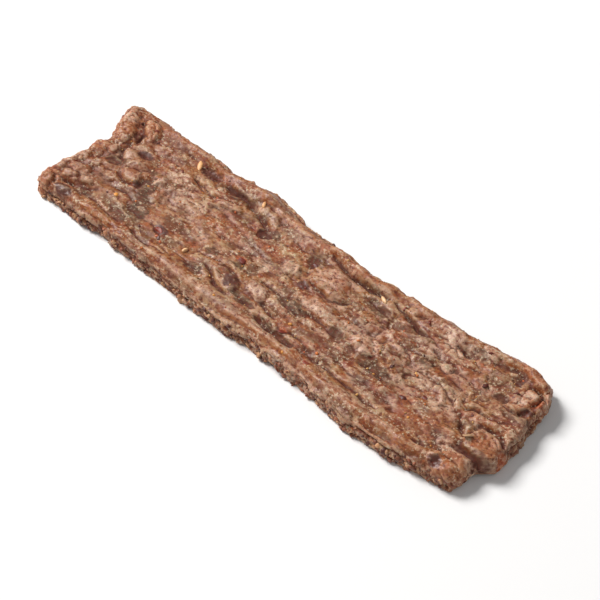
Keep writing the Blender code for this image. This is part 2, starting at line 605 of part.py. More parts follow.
def make_chip(chip, strip, collection):
    """One chip of spice, lying along the slope of the meat under it."""
    above = Vector((chip.x, chip.y, 3.0 * THICKNESS)) * MILLIMETRE
    _, place, slope, _ = strip.ray_cast(above, Vector((0.0, 0.0, -1.0)))
    upright = Vector((0.0, 0.0, 1.0)).rotation_difference(slope).to_matrix().to_4x4()
    turn = Matrix.Rotation(np.radians(chip.turn), 4, "Z")
    size = Vector((chip.length, chip.width, CHIP_THICKNESS)) * (MILLIMETRE / 2)
    ball = bmesh.new()
    bmesh.ops.create_icosphere(ball, subdivisions=1, radius=1.0)
    ball.transform(upright @ turn @ Matrix.Diagonal(size).to_4x4())
    mesh = bpy.data.meshes.new("chip")
    ball.to_mesh(mesh)
    ball.free()
    bead = bpy.data.objects.new("chip", mesh)
    bead.location = place - slope * CHIP_SUNK * MILLIMETRE
    collection.objects.link(bead)


def fuse_spice(strip):
    """Joins the chips of spice to the meat, and removes their own objects."""
    spice = bpy.data.collections.new("spice")
    bpy.context.scene.collection.children.link(spice)
    for chip in SPICE:
        make_chip(chip, strip, spice)
    union = strip.modifiers.new("spice", "BOOLEAN")
    union.operation = "UNION"
    union.operand_type = "COLLECTION"
    union.collection = spice
    apply_modifiers(strip)
    for bead in list(spice.objects):
        bpy.data.objects.remove(bead)
    bpy.data.collections.remove(spice)


def centre(strip):
    """Moves the mesh so that the origin is under the middle of it."""
    corners = np.array([vertex.co for vertex in strip.data.vertices])
    middle = (corners.min(axis=0) + corners.max(axis=0)) / 2.0
    strip.data.transform(Matrix.Translation((-middle[0], -middle[1], 0.0)))


def main():
    for old in list(bpy.data.objects):
        bpy.data.objects.remove(old)
    collection = bpy.data.collections.new("beef_jerky_strip")
    bpy.context.scene.collection.children.link(collection)
    strip = make_meat(collection)
    fuse_spice(strip)
    centre(strip)
    strip.data.shade_smooth()


main()
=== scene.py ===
"""The looks of a strip of beef jerky: pressed and dried minced meat with seeds and chilli flakes in it.

The meat is one fine mesh in the form of the solid that it replaces, with the wrinkles, crumbs and cracks
that the solid leaves out. Places and sizes are in millimetres, in the coordinates of the strip's outline,
until placed() moves them to the frame's, in metres.
"""

from typing import NamedTuple

import bmesh
import bpy
import numpy as np
from mathutils import Matrix, Vector

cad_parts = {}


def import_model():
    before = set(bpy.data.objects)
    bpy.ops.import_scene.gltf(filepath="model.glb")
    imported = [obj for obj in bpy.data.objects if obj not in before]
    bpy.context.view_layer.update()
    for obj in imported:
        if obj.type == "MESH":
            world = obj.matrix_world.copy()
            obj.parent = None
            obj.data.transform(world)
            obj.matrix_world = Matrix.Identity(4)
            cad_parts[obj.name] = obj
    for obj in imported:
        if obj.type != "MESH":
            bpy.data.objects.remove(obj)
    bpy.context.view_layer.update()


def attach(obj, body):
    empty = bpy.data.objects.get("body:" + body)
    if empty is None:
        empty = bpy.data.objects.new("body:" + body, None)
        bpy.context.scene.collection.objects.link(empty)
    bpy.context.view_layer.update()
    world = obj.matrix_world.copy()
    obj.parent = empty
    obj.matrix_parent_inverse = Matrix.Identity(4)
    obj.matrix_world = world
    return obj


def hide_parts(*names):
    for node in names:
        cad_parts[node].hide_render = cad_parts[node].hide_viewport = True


MILLIMETRE = 0.001

# The form of the strip: the same driving sizes and lists as its solid has.
LENGTH = 154.0
WIDTH = 40.0
THICKNESS = 5.6
SHOULDER_RADIUS = 3.2
SHOULDER_DROP = 2.4
HEEL_RADIUS = 0.8
HEEL_LIFT = 0.8
MIDDLE = (1.121, -0.767)  # the middle of the strip's box, which the frame has at its origin

NEAR_EDGE = ((-73, -19.8), (-63, -20.0), (-55, -19.3), (-45, -19.8), (-32, -20.5), (-18, -21.3),
             (-6, -21.4), (5, -21.0), (16, -21.1), (26, -21.8), (36, -22.8), (45, -23.7), (56, -23.2),
             (66, -22.0), (73, -20.8))
FAR_EDGE = ((-73, 21.4), (-66, 21.5), (-60, 20.6), (-50, 19.9), (-45, 20.3), (-38, 19.3), (-30, 20.7),
            (-23.5, 22.6), (-15, 20.8), (-8, 19.0), (3, 19.2), (10, 17.9), (20, 17.7), (24, 19.0),
            (35, 19.1), (48, 19.5), (60, 20.5), (67, 22.1), (73, 21.1))
LEFT_END = ((-20, -74.8), (-15, -76.0), (-12.3, -75.0), (-9.5, -75.6), (-5.8, -74.4), (-2, -73.4),
            (1.5, -74.0), (5, -72.4), (8, -73.8), (12, -75.6), (16.5, -77.1), (20, -76.6))
RIGHT_END = ((-20, 75.0), (-16, 75.8), (-12.6, 75.4), (-9, 79.6), (-6.5, 79.6), (-2.5, 78.6), (2, 78.6),
             (8, 77.2), (13, 76.6), (16.5, 75.2), (20, 72.8))
NEAR_CREST = ((-66, -17.6), (-45, -18.2), (-30, -17.6), (-15, -17.3), (0, -17.8), (15, -18.3),
              (30, -19.0), (45, -19.8), (56, -19.5), (66, -18.6))
FAR_CREST = ((-66, 18.2), (-45, 17.6), (-35, 17.4), (-24, 18.3), (-15, 16.3), (-6, 15.6), (6, 16.0),
             (18, 15.3), (28, 16.3), (40, 16.6), (52, 17.0), (62, 18.6), (70, 18.9))
RIM_FURROW_IN = 1.5  # how far inside the edge a furrow runs along the rolled rim
RIM_FURROW_DEPTH = 0.5
RIM_FURROW_HALF_WIDTH = 0.55
NEAR_RIM_HEIGHT = 0.85
FAR_RIM_HEIGHT = 1.25
RIM_HALF_WIDTH = 1.8
RIM_WANDER = 0.6


class Lump(NamedTuple):
    """A dome of meat, or with a negative height a pit. The steeper it is, the flatter its top."""

    x: float
    y: float
    along: float
    across: float
    height: float
    turn: float = 0.0  # degrees, anticlockwise from above
    steep: float = 1.0


class Crease(NamedTuple):
    """A fold line that sinks on the line and stands up on the side of it that lip points to."""

    x0: float
    y0: float
    x1: float
    y1: float
    bow: float  # how far its middle lies towards +Y
    depth: float
    half_width: float = 0.8
    lip: float = 0.3  # negative for a lip on the -Y side


class Chunks(NamedTuple):
    """A layer of mince: chunks of one size pressed together."""

    size: float
    stretch: float  # how much longer they are along X
    step: float  # between the levels of neighbours
    dome: float
    gap: float  # depth of the gaps, which only some seams have
    lean: float  # how much the top of a chunk leans


class Patch(NamedTuple):
    """An oval area of the meat, and how strongly it is stained or shaped."""

    x: float
    y: float
    along: float
    across: float
    strength: float = 1.0
    turn: float = 0.0


class Chip(NamedTuple):
    """A seed, flake, grain or crumb that lies in the surface."""

    x: float
    y: float
    length: float
    width: float
    turn: float = 0.0
    side: str = "top"
    z: float = 0.0  # only for the other sides


def rows(kind, *lists):
    """Lists of numbers as lumps, creases, patches or chips."""
    return tuple(kind(*row) for row in lists)


LUMPS = rows(
    Lump,
    # The knob at the far left corner: three lumps about a hollow.
    (-71, 12.4, 7.6, 3, 1.1, -60, 1.4), (-64.6, 14.9, 4.8, 2.6, 0.9, -38, 1.4),
    (-67.6, 6.6, 2.6, 2.2, 0.6, 0, 1.3), (-65.6, 10.6, 3.2, 1.3, -0.6, -50),
    # The row of small lumps along the left end, and a second row inside it.
    (-70.8, 0.8, 2.8, 3.2, 0.8, 0, 1.4), (-67, 2.6, 1.8, 1.4, 0.7, 0, 1.4),
    (-71.4, -4.4, 2.4, 1.8, 0.78, 10, 1.4), (-72.4, -8.2, 1.9, 1.6, 0.62, 0, 1.4),
    (-73, -11.4, 1.9, 1.4, 0.62, 0, 1.4), (-72, -14, 1.5, 1.1, 0.47, 0, 1.6),
    (-72, -17.8, 4.6, 2, 1.01, -52, 1.5), (-68.4, -12.8, 2.3, 1.6, 0.55, 10, 1.6),
    (-67.8, -8.8, 3.4, 2.2, 0.7, 10, 1.4), (-63.6, -10.6, 2, 1.5, 0.55, 0, 1.6),
    (-66.8, -4.8, 2.4, 1.4, 0.47, 0, 1.6), (-66.6, -17.2, 2.6, 1.7, 0.55, 10, 1.6),
    # The ring with a dent in it, and the lumps and pits behind it.
    (-59.6, 5.2, 5.8, 4.8, 0.8, -15, 1.3), (-58.6, 6.7, 2.6, 1.6, -0.5, 5),
    (-63.6, -0.6, 3, 1.5, -0.62, 12), (-56, -1.6, 3.7, 2.5, 0.6, -10, 1.4),
    (-52.2, -2.8, 1.5, 1.1, -0.31), (-50.4, 0.6, 2.4, 3.4, -0.39, -30),
    (-48.4, 2.4, 1.8, 2.2, 0.78, -20, 1.5), (-50.6, 11.8, 3.4, 2, 0.35, -10, 1.3),
    (-56.6, 11.8, 3.6, 1.8, 0.25, -10, 1.3), (-59.6, -5.2, 2.6, 1.8, 0.47, 0, 1.5),
    (-46.6, -11, 3.6, 2.2, -0.39),
    # Dents along the inner side of the far rim.
    (-40.4, 14, 4.2, 1.6, -0.8, -5), (-31, 13.6, 3.4, 1, -0.6, 8), (-14.2, 7.7, 2.6, 1.7, -0.9, -20),
    (-23.6, 18.4, 5, 3, 0.7), (-6, 13.8, 6, 2.6, 0.5, -6, 1.2),
    # Broad swells in the middle.
    (-38, 3, 7, 3.6, 0.35, 0, 1.2), (-37, -5, 6, 3, 0.3, 0, 1.2), (-30, 9.6, 6, 2.2, 0.5, -8, 1.3),
    (-27, 0.6, 5, 3, 0.5), (-18, 13, 5, 2.4, 0.6, -20, 1.3), (-1, 3.6, 3.4, 2.4, 0.7, -20, 1.5),
    (2, 9, 1.9, 2.2, -0.6), (9.6, 7.6, 6.6, 4.4, 0.9, -8, 1.2), (12.5, -1.4, 7.4, 3.2, 0.7, -4, 1.2),
    (22.8, -4.8, 2.2, 1.8, -0.5), (30.6, -2.6, 4.6, 3.8, 1, -20, 1.3),
    (38, 0.4, 4.4, 2.8, 0.7, -10, 1.4), (26, 4, 4.2, 2.4, 0.6, -8, 1.4), (-2, -8.4, 4, 2, 0.8, -8, 1.6),
    (8, -8.8, 6, 1.5, 0.5, -6, 1.3), (-9.2, -10.8, 3.8, 2, 0.6, -32, 1.3),
    (37, -6.8, 5.2, 2.4, -0.4, -8), (45.6, -12.8, 2.6, 2.6, -0.5), (10, -15.6, 8, 1.2, -0.8, -6),
    (24, 8.6, 5, 2.4, -0.6, -6), (50.4, 6, 2.2, 1.6, 0.6, -20, 1.8), (45, 2.4, 3.6, 2.4, 0.6, 0, 1.4),
    (58, -1.6, 4.6, 2, 0.6, -14, 1.3), (46, 14.6, 2.8, 2.6, 0.6, -6, 1.2),
    (51.6, 13.2, 2.2, 1.4, -0.8, -30), (56.4, 15.2, 3, 2.6, 0.5, 20, 1.2),
    (34, 15.2, 4, 2.2, 0.5, -6, 1.5), (56, -8, 6, 2.6, 0.5, -10, 1.3),
    (60.8, 12.4, 3.6, 2.6, 0.6, -6, 1.2),
    # The curled corner at the right end: outer lip, tucked flap, pit and the grey hollows beside it.
    (69.6, 18.8, 5.4, 2.2, 1.2, -14, 1.4), (76.2, 13.4, 1.8, 4.2, 1.2, 16, 1.6),
    (71.8, 11, 3.2, 5, 0.5, -9, 3), (66.6, 14.8, 2.2, 2.2, -0.8, 25), (74.4, 15, 1.4, 0.8, -0.8, -15),
    (74.6, 7, 1.6, 1, -0.8, 30), (67.2, 8, 2.6, 1.5, -0.6, 10), (71.4, 4, 2.8, 1.3, -0.5, -10),
    # The two big lumps of the right end, the notch between them and the flap above them.
    (73.8, -7.2, 5.2, 4.8, 0.9, -14, 3.2), (72, -17.8, 6.4, 5, 1, 16, 2.6), (68.2, -19.2, 2, 1.6, -0.5),
    (69.8, -0.8, 5, 1.5, 0.6, 16, 1.4), (61.8, -17.6, 2.6, 1.2, -0.8, 12),
    (65.4, -11.4, 3.6, 2.4, 0.6, -10, 1.4), (77.4, -13.6, 3, 1.3, -1.6, -20),
)

CREASES = rows(
    Crease,
    # The groove inside the far rim.
    (-35, 14.6, -25.4, 13.8, -0.3, 0.8, 0.9), (-26.4, 13.9, -13, 8.4, 0.5, 1.5, 1.2, 0.5),
    (3, 14.4, 12, 12.6, 0.2, 1.2, 0.8, 0.45), (11, 12.8, 25, 13, -0.4, 1.2, 0.8, 0.45),
    (26.4, 13.4, 40, 9.8, 0.2, 0.9), (47.6, 13.6, 54, 12.4, -0.6, 0.7),
    (53.6, 13.6, 58.6, 10.8, -0.3, 0.4, 0.7, 0.2), (59, 15.8, 68, 16.4, 0.5, 0.8, 0.9, 0.2),
    # The groove inside the near rim.
    (-62, -14.8, -46, -15.8, 0.3, 0.4, 0.8, -0.2), (-45, -14.2, -33, -16.6, -0.3, 0.5, 0.8, -0.3),
    (-25, -13.6, -17, -14.6, 0.2, 0.6, 0.9, -0.2), (-6, -12.6, 1.4, -14.2, 0.2, 0.8, 0.9, -0.2),
    (3, -14.9, 18, -16.8, 0.2, 1, 1.2, -0.3), (18, -15.4, 27, -15.2, -0.3, 0.6, 0.8, -0.2),
    (29, -15.6, 46, -16.8, 0.3, 0.6, 0.8, -0.3),
    # Wrinkles in the middle.
    (-44, 10.6, -35.6, 8.2, -0.3, 0.6, 0.7), (-36, 8.4, -27, 10.8, 0.2, 0.4, 0.7, 0.2),
    (-42, 5.8, -20, 4.8, 0.3, 0.3, 0.7, 0.2), (5, 3.8, 14.6, 2.6, -0.3, 0.7, 0.7, 0.4),
    (14, 2.6, 19, 5.2, -0.2, 0.6, 0.7), (-4, -4.9, 6, -5.4, 0.3, 0.5, 0.7, -0.3),
    (12, -4.6, 25, -6.6, 0.2, 0.5), (-16, -7.6, -8, -8.4, 0.2, 0.5, 0.7),
    (-18, -10.2, -7, -15, -0.9, 0.8, 0.8, 0.5), (0, -10.2, 8.6, -12.8, 0.2, 0.8, 0.7, 0.35),
    (12, -12.4, 24, -14.8, 0.3, 0.6, 0.7), (-50, -9.6, -34, -11.2, 0.3, 0.5, 0.7, 0.25),
    (-58, -6.8, -49, -7.6, 0.3, 0.5, 0.7), (27, 1.6, 35, -4.6, 0.8, 0.5), (33, -8.4, 44, -8, 0.3, 0.5),
    (50, 1, 60, -2, 0.2, 0.6, 0.7), (28, -11.6, 50, -13, -0.4, 0.4, 0.8, 0.2),
    (44, 7.4, 62, 6, 0.3, 0.4, 0.8, 0.2),
    # Folds of the right end.
    (64.6, -4.2, 68.4, -8.4, -0.4, 0.9, 0.9, 0.15), (68, -6.4, 70, -2.4, 0.2, 0.8, 0.7, -0.2),
    (69.6, -2.6, 74, -1.6, 0.4, 0.9, 0.7), (73.8, -1.4, 78.2, -5.4, 0.5, 0.9, 0.7),
    (62.4, -0.9, 71, 0.9, 0.3, 0.7, 0.7, -0.3), (70.6, 0.8, 76, 4, 0.2, 0.6, 0.7, -0.3),
    (69, -12.2, 79, -13.6, 0.8, 1.2, 1, -0.1), (70.2, 16, 76, 14.4, 0.3, 1.2, 0.6),
    (74.4, 15.4, 74.8, 9.4, -0.4, 0.8, 0.6, 0.2), (75, 9.4, 72.4, 6.4, 0.2, 1, 0.8, 0.2),
    # Folds of the left end.
    (-72.4, -14.6, -69, -16.8, 0.2, 0.9, 0.7, 0.2), (-69.4, -16, -63.6, -13.6, 0.2, 1),
    (-64, -13.4, -58.4, -10.6, -0.2, 0.8), (-68.8, 17, -64.4, 8.4, 0.5, 0.7, 0.7, 0.2),
    (-69.4, 4.6, -65, 7.8, -0.4, 0.6, 0.7), (-65.6, 6.6, -60.6, 0.6, -1.2, 0.9, 0.7, -0.2),
    (-59.4, -3, -52.6, -4, -0.5, 0.8, 0.7), (-52.8, 0.2, -51.4, -4, 0.4, 0.5, 0.7, 0.1),
)

COARSE_MINCE = Chunks(6.6, 2.3, 0.30, 0.12, 0.14, 0.50)
MEDIUM_MINCE = Chunks(3.0, 1.9, 0.14, 0.04, 0.08, 0.30)
END_MINCE = Chunks(3.8, 1.5, 0.12, 0.07, 0.10, 0.24)
END_REACH = 24.0
KNOBBLY_MINCE = Chunks(3.6, 1.45, 0.30, 0.09, 0.16, 0.60)  # only where the strip is knobbly
KNOBBLY_SPOTS = rows(
    Patch,
    (44, 3, 26, 12), (8, 2, 16, 9, 0.5), (-40, 2, 10, 7, 0.6), (52, 15, 12, 3, 0.9),
    (73, -7, 8, 6, 0.9), (70, -17.6, 9, 5, 0.9),
)
CREASE_WANDER = 0.55
LIP_REACH = 2.4  # where the lip of a crease is highest, in half widths of the crease
SIDE_ROUGHNESS = 0.65
SIDE_CRUMB = 3.0
EDGE_WANDER = 0.6
EDGE_WANDER_SIZE = 7.0
LIFT_AT_ENDS = 0.4
LIFT_REACH = 9.0
HOLLOW_DEPTH = 0.8
HOLLOW_SIZE = 11.0
FLAT_SPOT = (10.0, 7.0)

# What only the fine mesh has.
FINE_CUTS = (484, 138, 18)
THIN_OUT = 4  # the bottom keeps one point in this many, each way
CRACKS = rows(
    Crease,
    # Crisp lines that the solid is too coarse for.
    (-45, -15, -34, -16.6, -0.4, 0.5, 0.35, -0.35), (-43.6, 10.4, -36.2, 8.2, -0.5, 0.6, 0.35, 0.4),
    (-36.4, 8.2, -27, 10.4, 0.4, 0.4, 0.35, 0.35), (-34.4, 14.8, -26, 13.6, 0.2, 0.6, 0.35, 0.4),
    (-27, 13.8, -16, 9.2, 0.4, 0.8, 0.4, 0.5), (-18, -2.6, -13.6, -3.8, 0.1, 0.5, 0.3),
    (-24, -8.2, -9, -7.8, 0.3, 0.35, 0.35), (-34, -15, -29, -16, -0.1, 0.4, 0.3, 0.4),
    (40, 3.6, 47, 5, 0.3, 0.45, 0.35), (20, -14.6, 33, -15.8, -0.3, 0.45, 0.35, 0.35),
    (33, -15.8, 39, -17.6, 0.2, 0.45, 0.35), (42, -15, 48, -16.8, 0.2, 0.45, 0.35),
    (-16, -8, -8, -8.8, 0.2, 0.4, 0.4, 0.4), (-17, -10.6, -8, -14.6, -0.7, 0.5, 0.4, 0.5),
    (-9, 11, 0, 10.6, 0.3, 0.3, 0.4), (5, 14, 14, 12.5, -0.2, 0.6, 0.4, 0.4),
    (5, 3.6, 15, 2.6, -0.2, 0.5, 0.35, 0.4), (14, 2.8, 18, 5, -0.2, 0.4, 0.35),
    (14, -4.6, 21, -5.6, 0.2, 0.4, 0.4, 0.35), (1, -10.4, 8, -12.4, 0.1, 0.5, 0.35),
    (12, 12.8, 26, 13, -0.4, 0.8, 0.4, 0.5), (26, 13.4, 40, 9.8, 0.2, 0.7, 0.4, 0.4),
    (47.6, 13.6, 54, 12.4, -0.6, 0.6, 0.4), (52, 0.6, 60, -1.8, 0.3, 0.6, 0.4, 0.4),
    (60, -2, 66.6, -6.6, 0.6, 0.5, 0.4), (63, -0.6, 71, 1.2, 0.2, 0.5, 0.35, -0.3),
    (70.6, -2.2, 77, -4.2, 0.8, 0.6, 0.4, -0.3), (59, -15.6, 64, -17.8, 0.2, 0.5, 0.5, -0.3),
    (70.2, 15.9, 76.4, 14.2, 0.2, 1, 0.35, 0.5), (69.4, 15.6, 70.6, 8, 0.4, 0.5, 0.35, -0.3),
    (64.8, -14.2, 70.2, -12.4, 0.4, 0.35, 0.4), (70, -12.4, 76.6, -13.6, 0.5, 0.3, 0.4),
    (68.2, -8.6, 70, -4.4, 0.3, 0.8, 0.4, -0.3), (69.8, -4.6, 74.4, -2.4, 0.4, 0.9, 0.4),
    (-68.6, 16.6, -64.6, 8.8, 0.5, 0.5, 0.4), (-66, 17, -61.4, 12.2, 0.3, 0.5, 0.35),
    (67, 6.4, 73.4, 6, -0.3, 0.5, 0.4), (44, 10.4, 36, 10.6, 0.2, 0.4, 0.4),
    (-71.4, -14, -64, -13.4, -0.8, 0.6, 0.4),
)
CRACK_SHARE = 0.7  # of their depths and lips that the mesh gets
CRACK_LIP_REACH = 1.6
FINE_MINCE = Chunks(1.3, 1.2, 0.06, 0.02, 0.03, 0.14)
# Crumbs: size and height. Most are low, and a few stand out.
CRUMBS = ((1.4, 0.10), (0.8, 0.12))
# Folds in the skin: size across, how much longer along X, and height. With a height below 0 the valleys
# are sharp, else the crests.
FOLDS = ((4.2, 2.4, 0.09), (2.0, 2.0, -0.04), (0.9, 1.6, 0.04))
BENDS = ((3.2, 0.9), (1.2, 0.4))  # waves that make the lumps' outlines uneven: size, reach
# The sides: chunks, a furrow that wanders along them, folds along X, and crumbs on their lower half.
SIDE_MINCE = Chunks(3.2, 2.0, 0.22, 0.18, 0.16, 0.20)
FURROW_HEIGHT = 3.2
FURROW_WANDER = 0.9
FURROW_DEPTH = 0.6
SIDE_FOLDS = ((1.5, 5.0, 0.14), (0.7, 5.0, -0.08))
LOW_SIDE_MINCE = Chunks(1.5, 1.3, 0.26, 0.24, 0.20, 0.15)

# How wide the painted shade line in a crease is, over its half width, and how deep the creases with the
# darkest painted shade are.
SEAM_SHARE = 0.7
SEAM_FULL_DEPTH = 0.9

GREY_PATCHES = rows(
    Patch,
    (-49.6, -1.6, 3, 3.6, 1, 25), (-45.6, -8.8, 3.4, 2.2), (6.4, -5.8, 3.6, 1.8), (-12, -5.4, 2.8, 1.7),
    (-4, -13.2, 3, 1.5), (20.4, 5.8, 2.6, 1, 0.6), (31, 8.6, 3, 1.2, 0.6), (63.4, -12, 2.6, 1.2, 0.6),
    (63, -16.8, 2.2, 1, 0.7), (54.4, 14.4, 2.6, 1.6, 0.8), (72.4, 4.8, 2.6, 1.6, 0.8),
    (-52.6, 3.6, 1.8, 1.6, 0.9), (-47, -6.4, 3.6, 3, 0.6), (-47, -12, 5, 2.2, 0.7),
    (-63.4, 0, 3.6, 1.8, 0.9, 12), (-61.4, -14, 3.4, 1.6, 0.9, 12), (-20.4, -6.4, 2.6, 1.8, 0.8),
    (-20, -13.6, 3.4, 1.8), (-17, 10.4, 5, 1.2, 0.3, -25), (-12.6, 9.4, 1.8, 1.4, 0.9),
    (1, 9.8, 2.6, 2.8, 0.8, -15), (-8.2, -4, 2, 1.6, 0.7), (3.4, -2.4, 3, 1.8, 0.7),
    (10, -6.2, 3.4, 2.2), (22.8, -4.8, 2.4, 1.8, 0.9), (37, -6.8, 5.6, 2.4, 1, -8),
    (43.5, -2.8, 2.6, 1.4, 0.7), (38, -12.6, 3.4, 2.2, 0.6), (45.6, -12.6, 2.8, 2.6, 0.4),
    (27, -12, 2.6, 1.4, 0.6), (24, 9, 5.4, 2.2, 0.8, -8), (19, 12.6, 3, 1, 0.8),
    (7, -14.9, 5, 1.2, 1, -6), (15.6, -15.8, 2, 1.2), (-1.6, -13.4, 3.6, 1.6, 1, -12),
    (75.4, 5.4, 2.4, 2, 0.7), (67.4, 7.8, 2.8, 1.6, 0.7), (62, 5, 2.4, 1.6, 0.5),
    (64.6, -4.6, 3, 2.2, 0.5), (36, 10.6, 5, 1.2, 0.7, -12), (46, 3.6, 2.2, 1.7, 0.9),
)
# Dark purple chunks, and painted shade in pits and crevices.
DARK_AND_PIT_SHADE_PATCHES = rows(
    Patch,
    (-40.6, 13.9, 3.8, 1.8, 1, -5), (-58.6, 6.6, 2.7, 1.6, 1, 8), (-14.8, 7.6, 2.6, 1.8, 1, -20),
    (-9, -10.8, 3.6, 2.3, 1, -32), (-30.6, 13.8, 4, 1.2, 0.8, 5), (-30.6, 12.4, 1.8, 1, 0.7),
    (67, 14.8, 1.1, 1.6), (75, 12.2, 0.7, 2.8, 0.6, 6), (74.4, 8.4, 1.8, 0.9, 0.9, 20),
    (75.6, -10.6, 3.4, 1.4, 0.7), (12, -13.9, 2.2, 1.2, 0.8), (2.4, 8.6, 1.4, 1.1, 0.8),
    (5.2, 1.4, 1.8, 1.4, 0.9), (-3.6, -2, 0.9, 1.8, 0.3), (-52.4, -2.8, 1.6, 1.2, 0.9),
    (-65.4, 10.8, 1.7, 2, 0.9), (-65.4, -17.4, 3, 1.6), (-61, -6.6, 2.8, 0.9, 0.5),
    (-53, 15.8, 3, 1.2, 0.4), (-36, -10, 2.8, 1.5), (-38, -15.9, 3, 0.8, 0.5),
    (24.6, 1.8, 2.6, 1.4, 0.5), (68.2, -19.2, 2, 1.5), (77.8, -12.6, 1.8, 1.2, 0.8),
)
WARM_PATCHES = rows(
    Patch,
    (-71.6, 13, 4.4, 6), (-63.8, 14.8, 3.2, 3.6), (-72.4, -17.6, 3.6, 4), (-71, 1.6, 2.6, 2.6, 0.8),
    (-67.6, -8.8, 3.8, 2.8, 0.3), (-60.6, 3.6, 4.4, 2.6, 0.3), (-56, -1.4, 3.6, 2.4, 0.2),
    (72.2, -17.4, 6.4, 4.8, 0.9, 28), (74.2, -6.2, 4.6, 4.4, 0.9), (70.4, -0.6, 6, 1.8, 0.6, 16),
    (71.8, 10.8, 2.8, 4.2, 0.9), (75.4, 15, 3.6, 5, 0.9, 20), (68.6, 19, 6, 2.2, 0.8, -10),
    (31, -2.6, 4, 3.2, 0.8), (-28, 0, 8, 3, 0.5), (9.4, 8, 5, 3.4, 0.6), (14, -1.6, 6, 2.4, 0.5),
    (58, -13, 6, 3, 0.5), (0, 15, 20, 2, 0.6, -3),
)
# Paler meat, and painted sheen where the meat would shine.
PALE_AND_SHEEN_PATCHES = rows(
    Patch,
    (-40.4, 2.8, 3.4, 2.4), (-34, 1.6, 3.2, 2.6), (-38, 0.6, 8, 5, 0.5), (-27, -4.4, 3.2, 1.8, 0.8),
    (-23, 13.2, 3, 1, 0.8), (-5, 13.2, 4.6, 1.6, 0.8), (0, -10, 3, 1.2, 0.9), (10, 13.4, 5, 0.7, 0.6),
    (23, 13.8, 3.4, 1.2, 0.7), (22, -1.8, 3, 2), (26, -1, 2.8, 2.2), (31, 4, 3.4, 1.4, 0.7),
    (38, 2.2, 5, 1.8, 0.7), (44, 7.8, 4.6, 1.8), (48.4, -0.8, 6.4, 2.4), (46.6, -6, 5, 1.6, 0.7),
    (54, 5.6, 5, 2, 0.7), (58.4, -5, 5, 2, 0.8), (48, 12.2, 3.6, 1.7), (37, -13.2, 4.4, 1.5),
    (56, 17.4, 4.4, 1, 0.7), (-46.8, 6.8, 3.4, 2.2, 0.9), (-48.4, 2.4, 1.8, 2.2),
    (-13, 14, 8, 2.4, 0.4, -12), (-1, 3.6, 3.4, 2.4, 0.8, -20), (-6.2, -1, 1.4, 2.2, 0.9),
    (9.6, 8, 5, 3.6, 0.6), (14, -2, 6, 2.4, 0.8), (31, -2.8, 3.8, 3), (-2, -8.4, 4, 2.2),
    (-8, -17.6, 30, 1.2, 0.7), (46, -18.8, 14, 1.2, 0.6), (46.4, 15, 3, 2.2, 0.8),
    (50.6, 6, 2.2, 1.4, 1, -20), (51.6, 14.2, 2.4, 1.6), (41.6, -0.6, 1, 2.2, 0.8, 20),
    (71.6, 11.6, 2.2, 3.4, 0.9, -9), (56, 15.6, 2.6, 2.2, 0.7), (16, 2.5, 3, 2, 0.9),
    (28, 0.8, 3, 2, 0.9), (15, 10.8, 3, 1.5, 0.8), (20, -7.5, 2.6, 1.6, 0.7), (27, -7.5, 2.6, 1.6, 0.7),
    (9, 1.8, 2.6, 1.8, 0.7), (58, -1.2, 3, 1.8, 0.8), (6, 13.2, 2.6, 1.6, 0.7), (-64, 3.5, 2.4, 2, 0.8),
    (-40, 6, 3, 1.8, 0.6), (63, 7.5, 2.6, 1.6, 0.6), (47, -12.5, 2.4, 1.6, 0.7),
    (57, 17.5, 3, 1.6, 0.6), (37, 14.2, 3, 1.6, 0.5), (-55, 2.2, 2.4, 1.4, 0.5), (75, -14, 2, 1.6, 0.9),
    (69.4, -12.9, 3.6, 1.6, 0.9), (66, -13, 2.4, 1.4, 0.7), (78.4, -18.4, 2.4, 2, 0.8),
    (76.4, -4.6, 2, 1.8, 0.7), (75.8, 15.4, 1.8, 2.6, 0.9), (-72.6, 14.6, 2.6, 3, 0.8),
    (-73, -6.2, 1.8, 2.4, 0.7), (-64, -9.8, 2, 1.6, 0.6), (29, 0.8, 4, 2.6, 0.9),
    (48, -7.5, 3, 1.6, 0.6), (58, 1.8, 3, 1.6, 0.6), (70, -3.5, 2.4, 1.4, 0.7),
    (-16, 0.5, 2.6, 1.8, 0.6), (-9, -0.2, 2.6, 1.6, 0.6), (22, -21.2, 10, 1.4, 0.7),
    (-47, -20.4, 3, 1.2, 0.8),
)
AMBER_PATCHES = rows(
    Patch,
    (75.4, 12.6, 0.8, 1.8, 0.9), (80, -6.4, 1.8, 2.4), (-12.6, -3.2, 1.7, 0.9, 0.9, 15),
    (11.8, -13.2, 1.4, 0.9, 0.8), (48.8, -9, 1.2, 0.8, 0.7),
)
